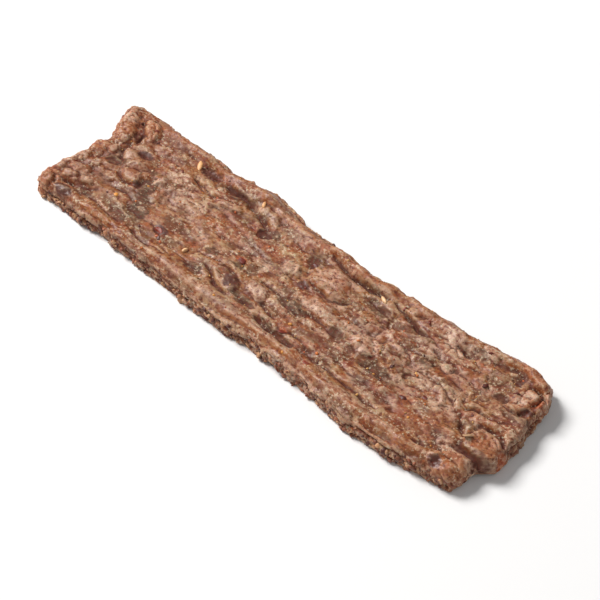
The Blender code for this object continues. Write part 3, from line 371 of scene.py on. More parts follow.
# Painted shade in patches along the grooves and hollows.
SHADED_PATCHES = rows(
    Patch,
    (-54, 14, 3, 1.6, 0.6), (-53, -12.2, 4, 1.8, 0.7), (-50, 11.5, 2.6, 1.6, 0.6),
    (-47, -14, 4, 1.8, 0.9), (-46, -8.5, 3.4, 2.4, 0.8), (-44, 1.8, 2.4, 1.8, 0.5),
    (-48, 5.2, 2, 1.6, 0.5), (-35, -6, 3.4, 2.4), (-31, -11.5, 4, 1.6, 0.8), (-32, -20.6, 5, 1.2, 0.8),
    (-19, -10.5, 3, 1.6, 0.5), (-16, -4.2, 3, 1.6, 0.5), (-12, 7.5, 3, 1.8, 0.6), (-9, 13, 4, 1.8, 0.6),
    (-8, -18.2, 5, 1.2, 0.5), (-2, 16.8, 5, 1.6, 0.9), (5, -10.5, 3, 1.6, 0.8), (7, -5, 3.4, 2, 0.6),
    (50, 14.2, 2.4, 1.6, 0.5), (56, -8.5, 3, 1.8, 0.5), (62, -11.8, 2.6, 1.8, 0.8),
    (27, -14.6, 3, 1.4, 0.8), (42, -13.8, 3, 1.4, 0.6), (-36, -1.2, 2.6, 1.8, 0.7),
    (-38, -17.2, 4, 1.2, 0.6), (-18, 17.2, 5, 1.4, 0.8), (-18, -20.6, 6, 1.2, 0.7),
    (-4, -17.2, 4, 1.4, 0.6), (-67, -5, 2.4, 1.4, 0.5), (-57, 15.4, 3, 1.6, 0.6),
    (44, 17.2, 3, 1.2, 0.6),
)
# Painted shade over the ends of the strip.
END_SHADE_PATCHES = rows(
    Patch,
    (-68, 0, 15, 24), (70, 10, 8, 9, 0.5), (68, -16, 8, 8, 0.45),
)

# The stains and the patches of painted shade and sheen: their patches, how ragged their outlines are, and
# the seed of that.
STAINS = {
    "grey": (GREY_PATCHES, 0.85, 93),
    # Dark chunks, and painted shade in pits.
    "dark": (DARK_AND_PIT_SHADE_PATCHES, 0.35, 95),
    # Paler meat, and painted sheen.
    "pale": (PALE_AND_SHEEN_PATCHES, 0.7, 97),
    "warm": (WARM_PATCHES, 0.5, 101),
    "amber": (AMBER_PATCHES, 0.3, 103),
    # Painted shade over the ends.
    "end_shade": (END_SHADE_PATCHES, 0.3, 105),
    # Painted shade in patches.
    "shaded_patch": (SHADED_PATCHES, 0.6, 107),
}


def smooth_through(knots, where, spread=1.6):
    """The line through the knots at each place, with its corners rounded off."""
    places, values = np.array(knots, float).T
    offsets = np.linspace(-spread, spread, 7)
    return np.mean([np.interp(where + offset, places, values) for offset in offsets], axis=0)


def bell(distance):
    """1 at a distance of 0, falling off smoothly to both sides."""
    return np.exp(-(distance**2))


def ease(value, low, high):
    """0 below low, 1 above high, and a smooth rise between them."""
    share = np.clip((value - low) / (high - low), 0.0, 1.0)
    return share * share * (3.0 - 2.0 * share)


def scattered(cells, seed):
    """A fixed pseudo-random number from 0 to 1 for each row of whole numbers."""
    x, y, z = (cells.astype(np.int64) & 0xFFFF).T
    mixed = (x * 73856093) ^ (y * 19349663) ^ (z * 83492791) ^ (seed * 2654435761)
    for shift, factor in ((13, 1274126177), (15, 668265263)):
        mixed = ((mixed ^ (mixed >> shift)) * factor) & 0x7FFFFFFF
    return (mixed & 0xFFFFF) / float(0xFFFFF)


def rolling_noise(points, size, seed):
    """Smooth noise from -1 to 1. Its waves are about two sizes long."""
    scaled = points / size
    base = np.floor(scaled)
    part = scaled - base
    part = part * part * (3.0 - 2.0 * part)
    total = np.zeros(len(points))
    for corner in np.ndindex(2, 2, 2):
        weight = np.prod(np.where(corner, part, 1.0 - part), axis=1)
        total += weight * scattered(base + corner, seed)
    return 2.0 * total - 1.0


def mince_cells(points, size, seed):
    """The nearest two chunk centres: their distances in chunk sizes, and their names from 0 to 1.

    The last result is how high the point lies on the nearest chunk's own slope.
    """
    scaled = points / size
    base = np.floor(scaled)
    nearest, second = np.full((2, len(points)), 9.0)
    name, other, lean = np.zeros((3, len(points)))
    for step in np.ndindex(3, 3, 3):
        cell = base + np.array(step) - 1.0
        heart = cell + np.stack([scattered(cell, seed + axis) for axis in range(3)], axis=1)
        own = scattered(cell, seed + 7)
        way = scaled - heart
        distance = np.linalg.norm(way, axis=1)
        slope_x = 2.0 * ((17.3 * own) % 1.0) - 1.0
        slope_y = 2.0 * ((29.7 * own) % 1.0) - 1.0
        slope = slope_x * way[:, 0] + slope_y * way[:, 1]
        closer = distance < nearest
        between = ~closer & (distance < second)
        other = np.where(closer, name, np.where(between, own, other))
        second = np.where(closer, nearest, np.where(between, distance, second))
        name = np.where(closer, own, name)
        lean = np.where(closer, slope, lean)
        nearest = np.where(closer, distance, nearest)
    return nearest, second, name, other, lean


def mince(points, size, seed):
    """Minced meat: 1 on the crowns of the lumps, falling to 0 in the creases where they meet."""
    nearest, second, _, _, _ = mince_cells(points, size, seed)
    return np.clip((second - nearest) / 0.55, 0.0, 1.0) ** 0.6


def chunks(points, layer, seed):
    """Chunks pressed together: each at its own level, with a gap along some of the seams."""
    squeezed = points / (layer.stretch, 1.0, 1.0)
    bent = squeezed + 0.35 * layer.size * rolling_noise(squeezed, 0.8 * layer.size, seed + 40)[:, None]
    nearest, second, name, other, lean = mince_cells(bent, layer.size, seed)
    apart = second - nearest
    own_share = 0.5 + 0.5 * ease(apart, 0.0, 0.2)
    level = own_share * name + (1.0 - own_share) * other
    seam = ((name + other) * 7.31) % 1.0
    closed = bell(apart / 0.13) * ease(seam, 0.25, 0.75)
    crown = 1.0 - np.clip(nearest / 0.85, 0.0, 1.0) ** 2
    tops = layer.step * (2.0 * level - 1.0) + layer.lean * lean * ease(apart, 0.0, 0.25)
    return tops + layer.dome * (crown - 0.6) - layer.gap * closed


def crumbs(points, size, seed):
    """Round crumbs from 0 to 1 that lie on the skin. Most are low."""
    nearest, _, name, _, _ = mince_cells(points, size, seed)
    reach = 0.35 + 0.25 * name
    return name**2 * (1.0 - np.clip(nearest / reach, 0.0, 1.0) ** 2)


def oval(x, y, spot):
    """1 at the middle of a lump or patch, and 0 on its outline."""
    angle = np.radians(spot.turn)
    dx, dy = x - spot.x, y - spot.y
    along = (dx * np.cos(angle) + dy * np.sin(angle)) / spot.along
    across = (dy * np.cos(angle) - dx * np.sin(angle)) / spot.across
    return 1.0 - along**2 - across**2


def lump_relief(points):
    """The sum of the named domes and pits, with uneven outlines."""
    x, y = points[:, 0].copy(), points[:, 1].copy()
    for size, reach in BENDS:
        x += reach * rolling_noise(points, size, 35)
        y += reach * rolling_noise(points, size, 36)
    return sum(lump.height * np.clip(lump.steep * oval(x, y, lump), 0.0, 1.0) ** 0.8 for lump in LUMPS)


def along_line(run, name, size, seed):
    """Noise from -1 to 1 at each distance along a line. The name tells one line from the next."""
    places = np.arange(-2.0, 60.0, 0.2)
    line = np.column_stack([places, np.full(len(places), 7.0 * name), np.zeros(len(places))])
    return np.interp(run, places, rolling_noise(line, size, seed))


def beside_crease(x, y, crease):
    """How far each point lies beside a crease's wandering line, and how much of the crease is there."""
    along = np.array([crease.x1 - crease.x0, crease.y1 - crease.y0], float)
    length = np.hypot(*along)
    along /= length
    run = (x - crease.x0) * along[0] + (y - crease.y0) * along[1]
    share = np.clip(run / length, 0.0, 1.0)
    off = (y - crease.y0) * along[0] - (x - crease.x0) * along[1]
    off = off - crease.bow * 4.0 * share * (1.0 - share)
    off = off - CREASE_WANDER * along_line(run, crease.x0, 2.8, 41)
    uneven = 0.85 + 0.35 * along_line(run, crease.x0, 2.2, 42)
    return off, uneven * ease(run, -1.0, 2.5) * ease(length - run, -1.0, 2.5)


def crease_relief(x, y, creases, lip_reach):
    """The sum of the named creases. A lip is highest lip_reach half widths beside its line."""
    total = np.zeros(len(x))
    for crease in creases:
        off, present = beside_crease(x, y, crease)
        valley = -crease.depth * bell(off / crease.half_width)
        beside = off * np.sign(crease.lip) / (lip_reach * crease.half_width)
        lip = abs(crease.lip) * np.where(beside > 0.0, beside * np.exp(1.0 - beside), 0.0)
        total += present * (valley + lip)
    return total


def seam_shade(points):
    """How dark the bottoms of the creases are, in broken lines."""
    x, y, _ = points.T
    broken = ease(rolling_noise(points, 1.8, 99), -0.7, 0.3)
    total = np.zeros(len(points))
    for crease in (*CREASES, *CRACKS):
        off, present = beside_crease(x, y, crease)
        line = bell(off / (SEAM_SHARE * crease.half_width))
        total = np.maximum(total, present * line * np.clip(crease.depth / SEAM_FULL_DEPTH, 0.0, 1.0))
    return total * broken


def rim_relief(x, y):
    """The two rolled rims, whose crests wander and rise and fall."""
    line = np.column_stack([x, 4.0 * np.sign(y), np.zeros(len(x))])
    wander = RIM_WANDER * rolling_noise(line, 6.0, 44)
    uneven = 1.0 + 0.3 * rolling_noise(line, 4.5, 45)
    rolls = 0.0
    for crest, height in ((NEAR_CREST, NEAR_RIM_HEIGHT), (FAR_CREST, FAR_RIM_HEIGHT)):
        rolls += height * bell((y - smooth_through(crest, x) - wander) / RIM_HALF_WIDTH)
    return uneven * ease(x, -70.0, -52.0) * ease(-x, -74.0, -60.0) * rolls


def rim_furrows(points):
    """A broken furrow along the outer side of each rim."""
    x, y, _ = points.T
    long = points / (1.0, 9.0, 9.0)
    way_in = RIM_FURROW_IN + 0.5 * rolling_noise(long, 5.0, 37)
    furrows = 0.0
    for from_edge in (y - smooth_through(NEAR_EDGE, x), smooth_through(FAR_EDGE, x) - y):
        furrows += bell((from_edge - way_in) / RIM_FURROW_HALF_WIDTH)
    broken = ease(rolling_noise(long, 9.0, 38), -0.6, 0.2)
    return -RIM_FURROW_DEPTH * ease(x, -64.0, -54.0) * ease(-x, -64.0, -54.0) * broken * furrows


def near_ends(points):
    """0 in the middle of the strip, and 1 at its ends."""
    return ease(np.abs(points[:, 0]), LENGTH / 2 - END_REACH, LENGTH / 2 - 0.25 * END_REACH)


def knobbly(points):
    """How knobbly the top is at each point, from 0 to 1."""
    x, y, _ = points.T
    shares = [spot.strength * ease(oval(x, y, spot), -0.1, 0.6) for spot in KNOBBLY_SPOTS]
    return np.max(shares, axis=0)


def mince_relief(points):
    """Chunks of mince all over, round ones towards the ends, and knobbly ones here and there."""
    long = chunks(points, COARSE_MINCE, 3) + chunks(points, MEDIUM_MINCE, 13)
    short = near_ends(points) * chunks(points, END_MINCE, 43)
    return long + short + knobbly(points) * chunks(points, KNOBBLY_MINCE, 153)


def rounded_slab(block):
    """The block's surface points moved onto a slab with rolled shoulders, and its outward directions."""
    half = np.array([LENGTH / 2, WIDTH / 2])
    height = (block[:, 2] + 1.0) / 2.0
    radius = HEEL_RADIUS + (SHOULDER_RADIUS - HEEL_RADIUS) * height
    flat = block[:, :2] * half
    inner = np.clip(flat, radius[:, None] - half, half - radius[:, None])
    level = height * THICKNESS
    inner_level = np.clip(level, HEEL_LIFT, THICKNESS - SHOULDER_DROP)
    upright = np.where(level > THICKNESS / 2, SHOULDER_DROP, HEEL_LIFT)
    out = np.column_stack([(flat - inner) / radius[:, None], (level - inner_level) / upright])
    out /= np.linalg.norm(out, axis=1)[:, None]
    moved = inner + out[:, :2] * radius[:, None]
    return np.column_stack([moved, inner_level + out[:, 2] * upright]), out


def follow_outline(slab):
    """The slab's plan bent to the strip's wandering outline."""
    x, y = slab[:, 0], slab[:, 1]
    near, far = smooth_through(NEAR_EDGE, x), smooth_through(FAR_EDGE, x)
    left, right = smooth_through(LEFT_END, y, 0.8), smooth_through(RIGHT_END, y, 0.8)
    across = y / WIDTH + 0.5
    along = x / LENGTH + 0.5
    return np.column_stack([left + (right - left) * along, near + (far - near) * across, slab[:, 2]])


def underside(x, y):
    """How high the underside is above the surface it lies on: mostly 0, with hollows and lifted ends."""
    plan = np.column_stack([x / 1.6, y, np.zeros(len(x))])
    hollow = HOLLOW_DEPTH * ease(rolling_noise(plan, HOLLOW_SIZE, 77), 0.1, 0.6)
    hollow *= ease(np.hypot(x / FLAT_SPOT[0], y / FLAT_SPOT[1]), 1.0, 1.6)
    lifted = LIFT_AT_ENDS * ease(np.abs(x), LENGTH / 2 - LIFT_REACH, LENGTH / 2)
    return hollow + lifted


def folds(points, layer, seed):
    """Long folds in the skin, with sharp crests, or sharp valleys where the height is below 0."""
    size, stretch, height = layer
    long = points / (stretch, 1.0, 1.0)
    long = long + 0.5 * size * rolling_noise(points, 2.5 * size, seed)[:, None]
    return height * (0.8 - 2.0 * np.abs(rolling_noise(long, size, seed + 1)) ** 0.7)


def fine_relief(points):
    """The small chunks, crumbs, folds and cracks of the top."""
    ends = near_ends(points)
    total = CRACK_SHARE * crease_relief(points[:, 0], points[:, 1], CRACKS, CRACK_LIP_REACH)
    total += (1.0 + 0.5 * ends) * chunks(points, FINE_MINCE, 23)
    rough = 1.0 + 0.7 * rolling_noise(points, 6.0, 33) + 0.4 * ends
    for seed, (size, height) in enumerate(CRUMBS):
        total += height * rough * crumbs(points, size, 53 + 10 * seed)
    for seed, layer in enumerate(FOLDS):
        total += (1.0 - 0.7 * ends) * folds(points, layer, 73 + 5 * seed)
    return total


def side_relief(points):
    """How far the sides stand out: wandering as a whole, streaky above a furrow and crumbly below it."""
    wander = EDGE_WANDER * rolling_noise(points / (1.0, 1.0, 4.0), EDGE_WANDER_SIZE, 62)
    crumbly = SIDE_ROUGHNESS * (mince(points / (1.5, 1.0, 0.8), SIDE_CRUMB, 61) - 0.6)
    middle = FURROW_HEIGHT + FURROW_WANDER * rolling_noise(points / (1.0, 1.0, 9.0), 6.0, 64)
    depth = FURROW_DEPTH * ease(rolling_noise(points / (1.0, 1.0, 9.0), 8.0, 65), -0.4, 0.5)
    furrow = depth * bell((points[:, 2] - middle) / 0.5)
    streaky = sum(folds(points, layer, 66 + 5 * number) for number, layer in enumerate(SIDE_FOLDS))
    low = ease(middle - points[:, 2], -0.2, 0.8) * chunks(points, LOW_SIDE_MINCE, 60)
    return wander + crumbly + chunks(points, SIDE_MINCE, 63) + streaky - furrow + low


def shaped(block):
    """Where each point of the block's surface goes on the finished strip."""
    slab, out = rounded_slab(block)
    points = follow_outline(slab)
    x, y = points[:, 0].copy(), points[:, 1].copy()
    side = np.hypot(out[:, 0], out[:, 1])
    points[:, :2] += out[:, :2] * (side_relief(points) * side)[:, None]
    top = rim_relief(x, y) + rim_furrows(points) + lump_relief(points) + mince_relief(points)
    top += crease_relief(x, y, CREASES, LIP_REACH)
    height = points[:, 2] / THICKNESS
    points[:, 2] += (top + fine_relief(points)) * ease(height, 0.35, 0.95)
    points[:, 2] += underside(x, y) * ease(-height, -0.6, 0.0)
    return points


def placed(points):
    """Points of the outline's coordinates, moved to the frame's."""
    return (points - (MIDDLE[0], MIDDLE[1], 0.0)) * MILLIMETRE


def block_surface(cuts, thin_out):
    """An even grid over a block from -1 to 1: its points, and its faces as lists of point numbers.

    Away from its rim, the bottom keeps one point in thin_out each way.
    """
    cuts = np.array(cuts)
    grids, faces, count = [], [], 0
    for axis in range(3):
        u, v = (axis + 1) % 3, (axis + 2) % 3
        for side in (0, 1):
            across, up = np.meshgrid(np.arange(cuts[u] + 1), np.arange(cuts[v] + 1), indexing="ij")
            if axis == 2 and side == 0:
                inner = (across > 0) & (across < cuts[u]) & (up > 0) & (up < cuts[v])
                for line, most in ((across, cuts[u]), (up, cuts[v])):
                    rounded = np.clip(-(-line // thin_out) * thin_out, thin_out, most - thin_out)
                    line[inner] = rounded[inner]
            grid = np.full(across.shape + (3,), side * cuts[axis])
            grid[..., u], grid[..., v] = across, up
            number = count + np.arange(across.size).reshape(across.shape)
            count += across.size
            corners = (number[:-1, :-1], number[1:, :-1], number[1:, 1:], number[:-1, 1:])
            quads = np.stack(corners, axis=-1).reshape(-1, 4)
            faces.append(quads if side else quads[:, ::-1])
            grids.append(grid.reshape(-1, 3))
    points, number = np.unique(np.concatenate(grids), axis=0, return_inverse=True)
    quads = number.reshape(-1)[np.concatenate(faces)]
    rings = (list(dict.fromkeys(quad)) for quad in quads.tolist())
    return points * 2.0 / cuts - 1.0, [ring for ring in rings if len(ring) > 2]


def neighbour_mean(values, pairs, rounds):
    """The values averaged with their neighbours' along the mesh's edges, so many rounds."""
    ends = np.concatenate([pairs, pairs[:, ::-1]])
    count = np.bincount(ends[:, 0], minlength=len(values))[:, None]
    for _ in range(rounds):
        columns = [column[ends[:, 1]] for column in values.T]
        sums = [np.bincount(ends[:, 0], column, len(values)) for column in columns]
        values = 0.5 * values + 0.5 * np.stack(sums, axis=1) / count
    return values


def paint(mesh, name, values):
    """Stores one number for each point of the mesh, for its material to read."""
    layer = mesh.attributes.new(name, "FLOAT", "POINT")
    layer.data.foreach_set("value", np.clip(values, -1.0, 1.0).astype(np.float32))


def stain(points, patches, ragged, seed):
    """How strongly the named patches stain each point, with ragged outlines."""
    x, y, _ = points.T
    noise = rolling_noise(points, 1.6, seed) + 0.5 * rolling_noise(points, 0.7, seed + 1)
    total = np.zeros(len(points))
    for patch in patches:
        inside = ease(oval(x, y, patch) + ragged * noise, -0.25, 0.45)
        total = np.maximum(total, patch.strength * inside)
    return total


def paint_meat(mesh, points):
    """Stores what the meat's material needs: hollows and crowns, lump tones, stains, and the masks of
    painted shade and sheen.
    """
    pairs = np.empty(len(mesh.edges) * 2, np.int32)
    mesh.edges.foreach_get("vertices", pairs)
    pairs = pairs.reshape(-1, 2)
    normals = np.empty(len(mesh.vertices) * 3, np.float32)
    mesh.vertices.foreach_get("normal", normals)
    normals = normals.reshape(-1, 3)
    # Heights over the smoothed mesh: after how many rounds, and how much of it counts as 1.
    for name, rounds, depth in (("fine_height", 6, 0.10), ("broad_height", 90, 0.40)):
        smoothed = neighbour_mean(points, pairs, rounds)
        paint(mesh, name, np.einsum("ij,ij->i", points - smoothed, normals) / depth)
    bent = points / (1.5, 1.0, 1.0) + 1.2 * rolling_noise(points, 2.5, 91)[:, None]
    paint(mesh, "lump_tone", mince_cells(bent, 2.6, 92)[2])
    for name, (patches, ragged, seed) in STAINS.items():
        paint(mesh, name, stain(points, patches, ragged, seed))
    paint(mesh, "side_face", ease(-normals[:, 2], -0.55, 0.1))
    # Painted shade where the lower sides turn under.
    paint(mesh, "turned_under_shade", ease(-normals[:, 2], -0.5, 0.0) * ease(-points[:, 2], -3.6, -1.4))
    paint(mesh, "rim", rim_relief(points[:, 0], points[:, 1]) / NEAR_RIM_HEIGHT)
    # Painted shade along the bottoms of the creases.
    paint(mesh, "seam", seam_shade(points))


class Nodes:
    """A material's node tree, with short calls for the nodes that the materials here use."""

    def __init__(self, name):
        self.material = bpy.data.materials.new(name)
        self.material.use_nodes = True
        self.tree = self.material.node_tree
        self.shader = self.tree.nodes["Principled BSDF"]

    def put(self, values, node):
        """Links or sets the node's inputs, given by name or number."""
        for name, value in values.items():
            if isinstance(value, bpy.types.NodeSocket):
                self.tree.links.new(value, node.inputs[name])
            else:
                node.inputs[name].default_value = value

    def add(self, kind, values, output, **settings):
        """A new node's output. The settings go first, as they say which inputs it has."""
        node = self.tree.nodes.new("ShaderNode" + kind)
        for name, setting in settings.items():
            setattr(node, name, setting)
        self.put(values, node)
        return node.outputs[output]

    def attribute(self, name, output="Fac"):
        """What the mesh has stored under this name."""
        return self.add("Attribute", {}, output, attribute_name=name)

    def noise(self, size, stretch=1.0, detail=2.0, roughness=0.5, seed=0.0):
        """Noise from 0 to 1 with blobs of about this size in millimetres, stretched along X."""
        place = self.add("TexCoord", {}, "Object")
        place = self.add("Mapping", {"Vector": place, "Scale": (1.0 / stretch, 1.0, 1.0)}, "Vector")
        scale = 0.5 / (size * MILLIMETRE)
        values = {"Vector": place, "W": seed, "Scale": scale, "Detail": detail, "Roughness": roughness}
        return self.add("TexNoise", values, "Fac", noise_dimensions="4D")

    def span(self, value, low, high, to_low=0.0, to_high=1.0):
        """The value's range low to high, mapped smoothly to another."""
        values = {"Value": value, "From Min": low, "From Max": high, "To Min": to_low, "To Max": to_high}
        return self.add("MapRange", values, "Result", interpolation_type="SMOOTHSTEP")

    def product(self, first, second, operation="MULTIPLY"):
        return self.add("Math", {0: first, 1: second}, "Value", operation=operation)

    def most(self, first, second):
        return self.product(first, second, "MAXIMUM")

    def mix(self, share, first, second, blend="MIX"):
        values = {0: share, 6: first, 7: second}
        return self.add("Mix", values, 2, data_type="RGBA", blend_type=blend, clamp_factor=True)

    def bump(self, height, strength, distance, **before):
        values = {"Height": height, "Strength": strength, "Distance": distance * MILLIMETRE}
        return self.add("Bump", {**values, **before}, "Normal")


def colour(red, green, blue):
    """A linear colour from the numbers 0 to 255 that a picture shows."""
    shares = np.array([red, green, blue]) / 255.0
    linear = np.where(shares <= 0.04045, shares / 12.92, ((shares + 0.055) / 1.055) ** 2.4)
    return (*linear, 1.0)


# The meat's colours.
BROWN = colour(144, 80, 38)
TAN = colour(149, 92, 44)
OLIVE = colour(100, 65, 37)
RED = colour(139, 66, 34)
ORANGE = colour(176, 86, 34)
PALE = colour(184, 152, 116)
AMBER = colour(170, 80, 34)
GREY = colour(74, 52, 35)
# Dark purple chunks, and painted shade in pits.
PURPLE_AND_PIT_SHADE = colour(76, 34, 26)
DARK = colour(104, 40, 20)
SHADE = colour(90, 42, 22)
WARM = colour(170, 98, 56)
# Painted shade in patches.
SHADED_PATCH_BROWN = colour(98, 56, 32)
# Pale meat, and painted sheen and highlights.
PALE_SHEEN = colour(198, 161, 137)
RIM_TAN = colour(147, 74, 2)
# Painted shade in the creases and small hollows.
CREVICE_SHADE = colour(72, 29, 15)
# The sides' own darker brown, and painted shade.
SIDE_BROWN_AND_SHADE = colour(116, 60, 33)
# Painted shade where the lower sides turn under.
LOW_SIDE_SHADE = colour(108, 54, 31)
# Painted shade over the ends of the strip.
END_SHADE_BROWN = colour(124, 61, 20)
SPECK = colour(214, 192, 164)


def meat_tones(nodes, grain):
    """The meat's colour, with painted shade in its hollows, creases and sides and painted highlights and
    sheen on its crowns, and where it is so dull that it doesn't shine.
    """
    names = ("fine_height", "broad_height", "lump_tone", "side_face", "turned_under_shade", "rim", "seam")
    fine, broad, lump, side, turned_under_shade, rim, seam = (nodes.attribute(name) for name in names)
    grey, dark, pale, warm, amber, end_shade, shaded_patch = (nodes.attribute(name) for name in STAINS)
    streaks = nodes.noise(0.9, 1.8, detail=4.0, roughness=0.7, seed=2.0)
    fibres = nodes.noise(0.45, 6.0, roughness=0.6, seed=2.5)
    blotch = nodes.noise(2.2, 1.5, detail=4.0, roughness=0.65, seed=1.5)
    olive = nodes.noise(3.2, 2.0, detail=4.0, roughness=0.6, seed=1.2)
    olive_share = nodes.product(nodes.span(olive, 0.51, 0.58), nodes.span(pale, 0.0, 0.8, 1.0, 0.1))
    grey = nodes.product(grey, nodes.span(streaks, 0.62, 0.42, 0.7, 1.0))
    combed = nodes.most(side, rim)
    plain = nodes.span(nodes.most(nodes.most(rim, warm), dark), 0.2, 0.9, 1.0, 0.3)
    sown = nodes.span(nodes.noise(2.4, 1.6, seed=6.5), 0.38, 0.60, 0.25, 1.0)
    sown = nodes.product(sown, nodes.span(dark, 0.1, 0.8, 1.0, 0.15))
    sown = nodes.product(sown, nodes.span(grey, 0.1, 0.8, 1.0, 0.7))
    # The tints, one over the other: each with what says where it lies, how much of it there is at most,
    # and the range in which it comes in, where that isn't 0 to 1.
    layers = (
        (RED, lump, 0.5, 0.6, 0.9),
        (RED, blotch, 0.7, 0.50, 0.62),
        (PALE, blotch, 0.6, 0.48, 0.36),
        (OLIVE, olive_share, 0.7),
        (PALE, olive, 0.45, 0.45, 0.36),
        (ORANGE, nodes.noise(1.0, seed=1.8), 0.6, 0.60, 0.70),
        (DARK, nodes.noise(1.1, seed=1.9), 0.6, 0.58, 0.66),
        (RIM_TAN, rim, 0.8, 0.25, 0.9),
        (DARK, streaks, 0.7, 0.48, 0.34),
        (PALE, streaks, 0.45, 0.52, 0.66),
        # Painted shade over the ends of the strip.
        (END_SHADE_BROWN, end_shade, 0.55),
        (WARM, warm, 0.6),
        # Paler meat in the pale patches, partly painted sheen.
        (PALE_SHEEN, nodes.product(pale, nodes.span(streaks, 0.32, 0.58, 0.25, 1.0)), 0.75),
        # Painted shade in patches.
        (SHADED_PATCH_BROWN, shaded_patch, 0.75),
        (GREY, grey, 0.85),
        # Dark purple chunks, with painted shade in the pits and crevices.
        (PURPLE_AND_PIT_SHADE, dark, 0.9),
        # The sides' own darker brown, with painted shade on faces turned away from the top.
        (SIDE_BROWN_AND_SHADE, side, 0.35),
        # Painted shade where the lower sides turn under.
        (LOW_SIDE_SHADE, turned_under_shade, 0.5),
        (PALE, nodes.product(combed, nodes.span(fibres, 0.52, 0.68)), 0.5),
        (DARK, nodes.product(combed, nodes.span(fibres, 0.48, 0.34)), 0.6),
        (SHADE, broad, 0.6, 0.0, -1.0),
        # Painted highlight on the broad crowns.
        (PALE_SHEEN, nodes.product(nodes.span(broad, 0.1, 1.0), plain), 0.35),
        # Painted shade along the creases, and in the small hollows.
        (CREVICE_SHADE, seam, 0.8, 0.1, 1.0),
        (CREVICE_SHADE, fine, 0.7, -0.15, -1.0),
        (AMBER, amber, 0.85, 0.1, 1.0),
        # Painted highlight on the small crowns.
        (PALE, fine, 0.3, 0.2, 1.0),
        (DARK, grain, 0.9, 0.48, 0.35),
        (SPECK, nodes.product(nodes.span(grain, 0.53, 0.64), sown), 0.65),
    )
    tone = nodes.mix(nodes.span(nodes.noise(5.0, 1.6, seed=1.0), 0.42, 0.58), BROWN, TAN)
    for tint, share, most, *ends in layers:
        low, high = ends or (0.0, 1.0)
        tone = nodes.mix(nodes.span(share, low, high, 0.0, most), tone, tint)
    dull = nodes.most(nodes.span(fine, 0.0, -0.8, 0.0, 0.9), nodes.span(seam, 0.1, 0.7, 0.0, 0.9))
    return tone, nodes.most(dull, nodes.span(nodes.most(grey, shaded_patch), 0.1, 0.8, 0.0, 0.85))


def meat_material():
    """Dried mince: mottled red-brown, grey in the stains, with painted highlights on the crowns and painted
    shade in the cracks.
    """
    nodes = Nodes("dried_beef")
    grain = nodes.noise(0.36, 1.15, detail=3.0, roughness=0.7, seed=6.0)
    tone, dull = meat_tones(nodes, grain)
    gloss = nodes.span(nodes.noise(2.2, 1.5, detail=3.0, roughness=0.6, seed=4.0), 0.38, 0.62, 0.42, 0.66)
    rough = nodes.bump(nodes.noise(0.8, 1.3, detail=3.0, roughness=0.65, seed=5.0), 0.5, 0.3)
    raised = nodes.bump(grain, 0.7, 0.22, Normal=rough)
    looks = {
        "Base Color": tone,
        "Roughness": nodes.most(gloss, dull),
        "Normal": raised,
        "Coat Normal": raised,
        "Specular IOR Level": 0.45,
        "Coat Weight": 0.05,
        "Coat Roughness": 0.3,
        "Subsurface Weight": 0.35,
        "Subsurface Radius": (1.0, 0.35, 0.2),
        "Subsurface Scale": 1.0 * MILLIMETRE,
    }
    nodes.put(looks, nodes.shader)
    return nodes.material


def spice_material(name, roughness):
    """One kind of spice. Each bit has its own colour, mottled a little."""
    nodes = Nodes(name)
    own = nodes.attribute("bit_colour", "Color")
    mottle = nodes.span(nodes.noise(0.5, seed=8.0), 0.35, 0.65, 0.0, 0.5)
    darker = nodes.mix(1.0, own, (0.45, 0.4, 0.38, 1.0), "MULTIPLY")
    raised = nodes.bump(nodes.noise(0.4, seed=9.0), 0.4, 0.15)
    looks = {"Base Color": nodes.mix(mottle, own, darker), "Normal": raised, "Roughness": roughness}
    nodes.put(looks, nodes.shader)
    return nodes.material


def in_scene(name, data):
    """A new object in the scene, with this mesh, camera or lamp."""
    thing = bpy.data.objects.new(name, data)
    bpy.context.scene.collection.objects.link(thing)
    return thing


def new_object(name, points, faces):
    """A smooth mesh object in the scene."""
    mesh = bpy.data.meshes.new(name)
    mesh.from_pydata(points, [], faces)
    mesh.update()
    mesh.shade_smooth()
    return in_scene(name, mesh)


def make_meat():
    """The strip itself, which stands for the solid."""
    block, faces = block_surface(FINE_CUTS, THIN_OUT)
    points = shaped(block)
    meat = new_object("jerky_meat", placed(points), faces)
    paint_meat(meat.data, points)
    meat.data.materials.append(meat_material())
    return meat


class Kind(NamedTuple):
    """A kind of bit: its named ones, how many more are strewn over which sides, and what they look like."""

    name: str
    named: tuple
    sides: tuple
    strewn: int
    lengths: tuple  # shortest and longest of the strewn ones
    colours: tuple
    seed: int
    thickness: float
    sunk: float = 0.05  # how far the middle lies below the surface
    slimness: float = 0.75  # width over length
    ragged: float = 0.25
    roughness: float = 0.45
    detail: int = 2  # how often its ball is subdivided


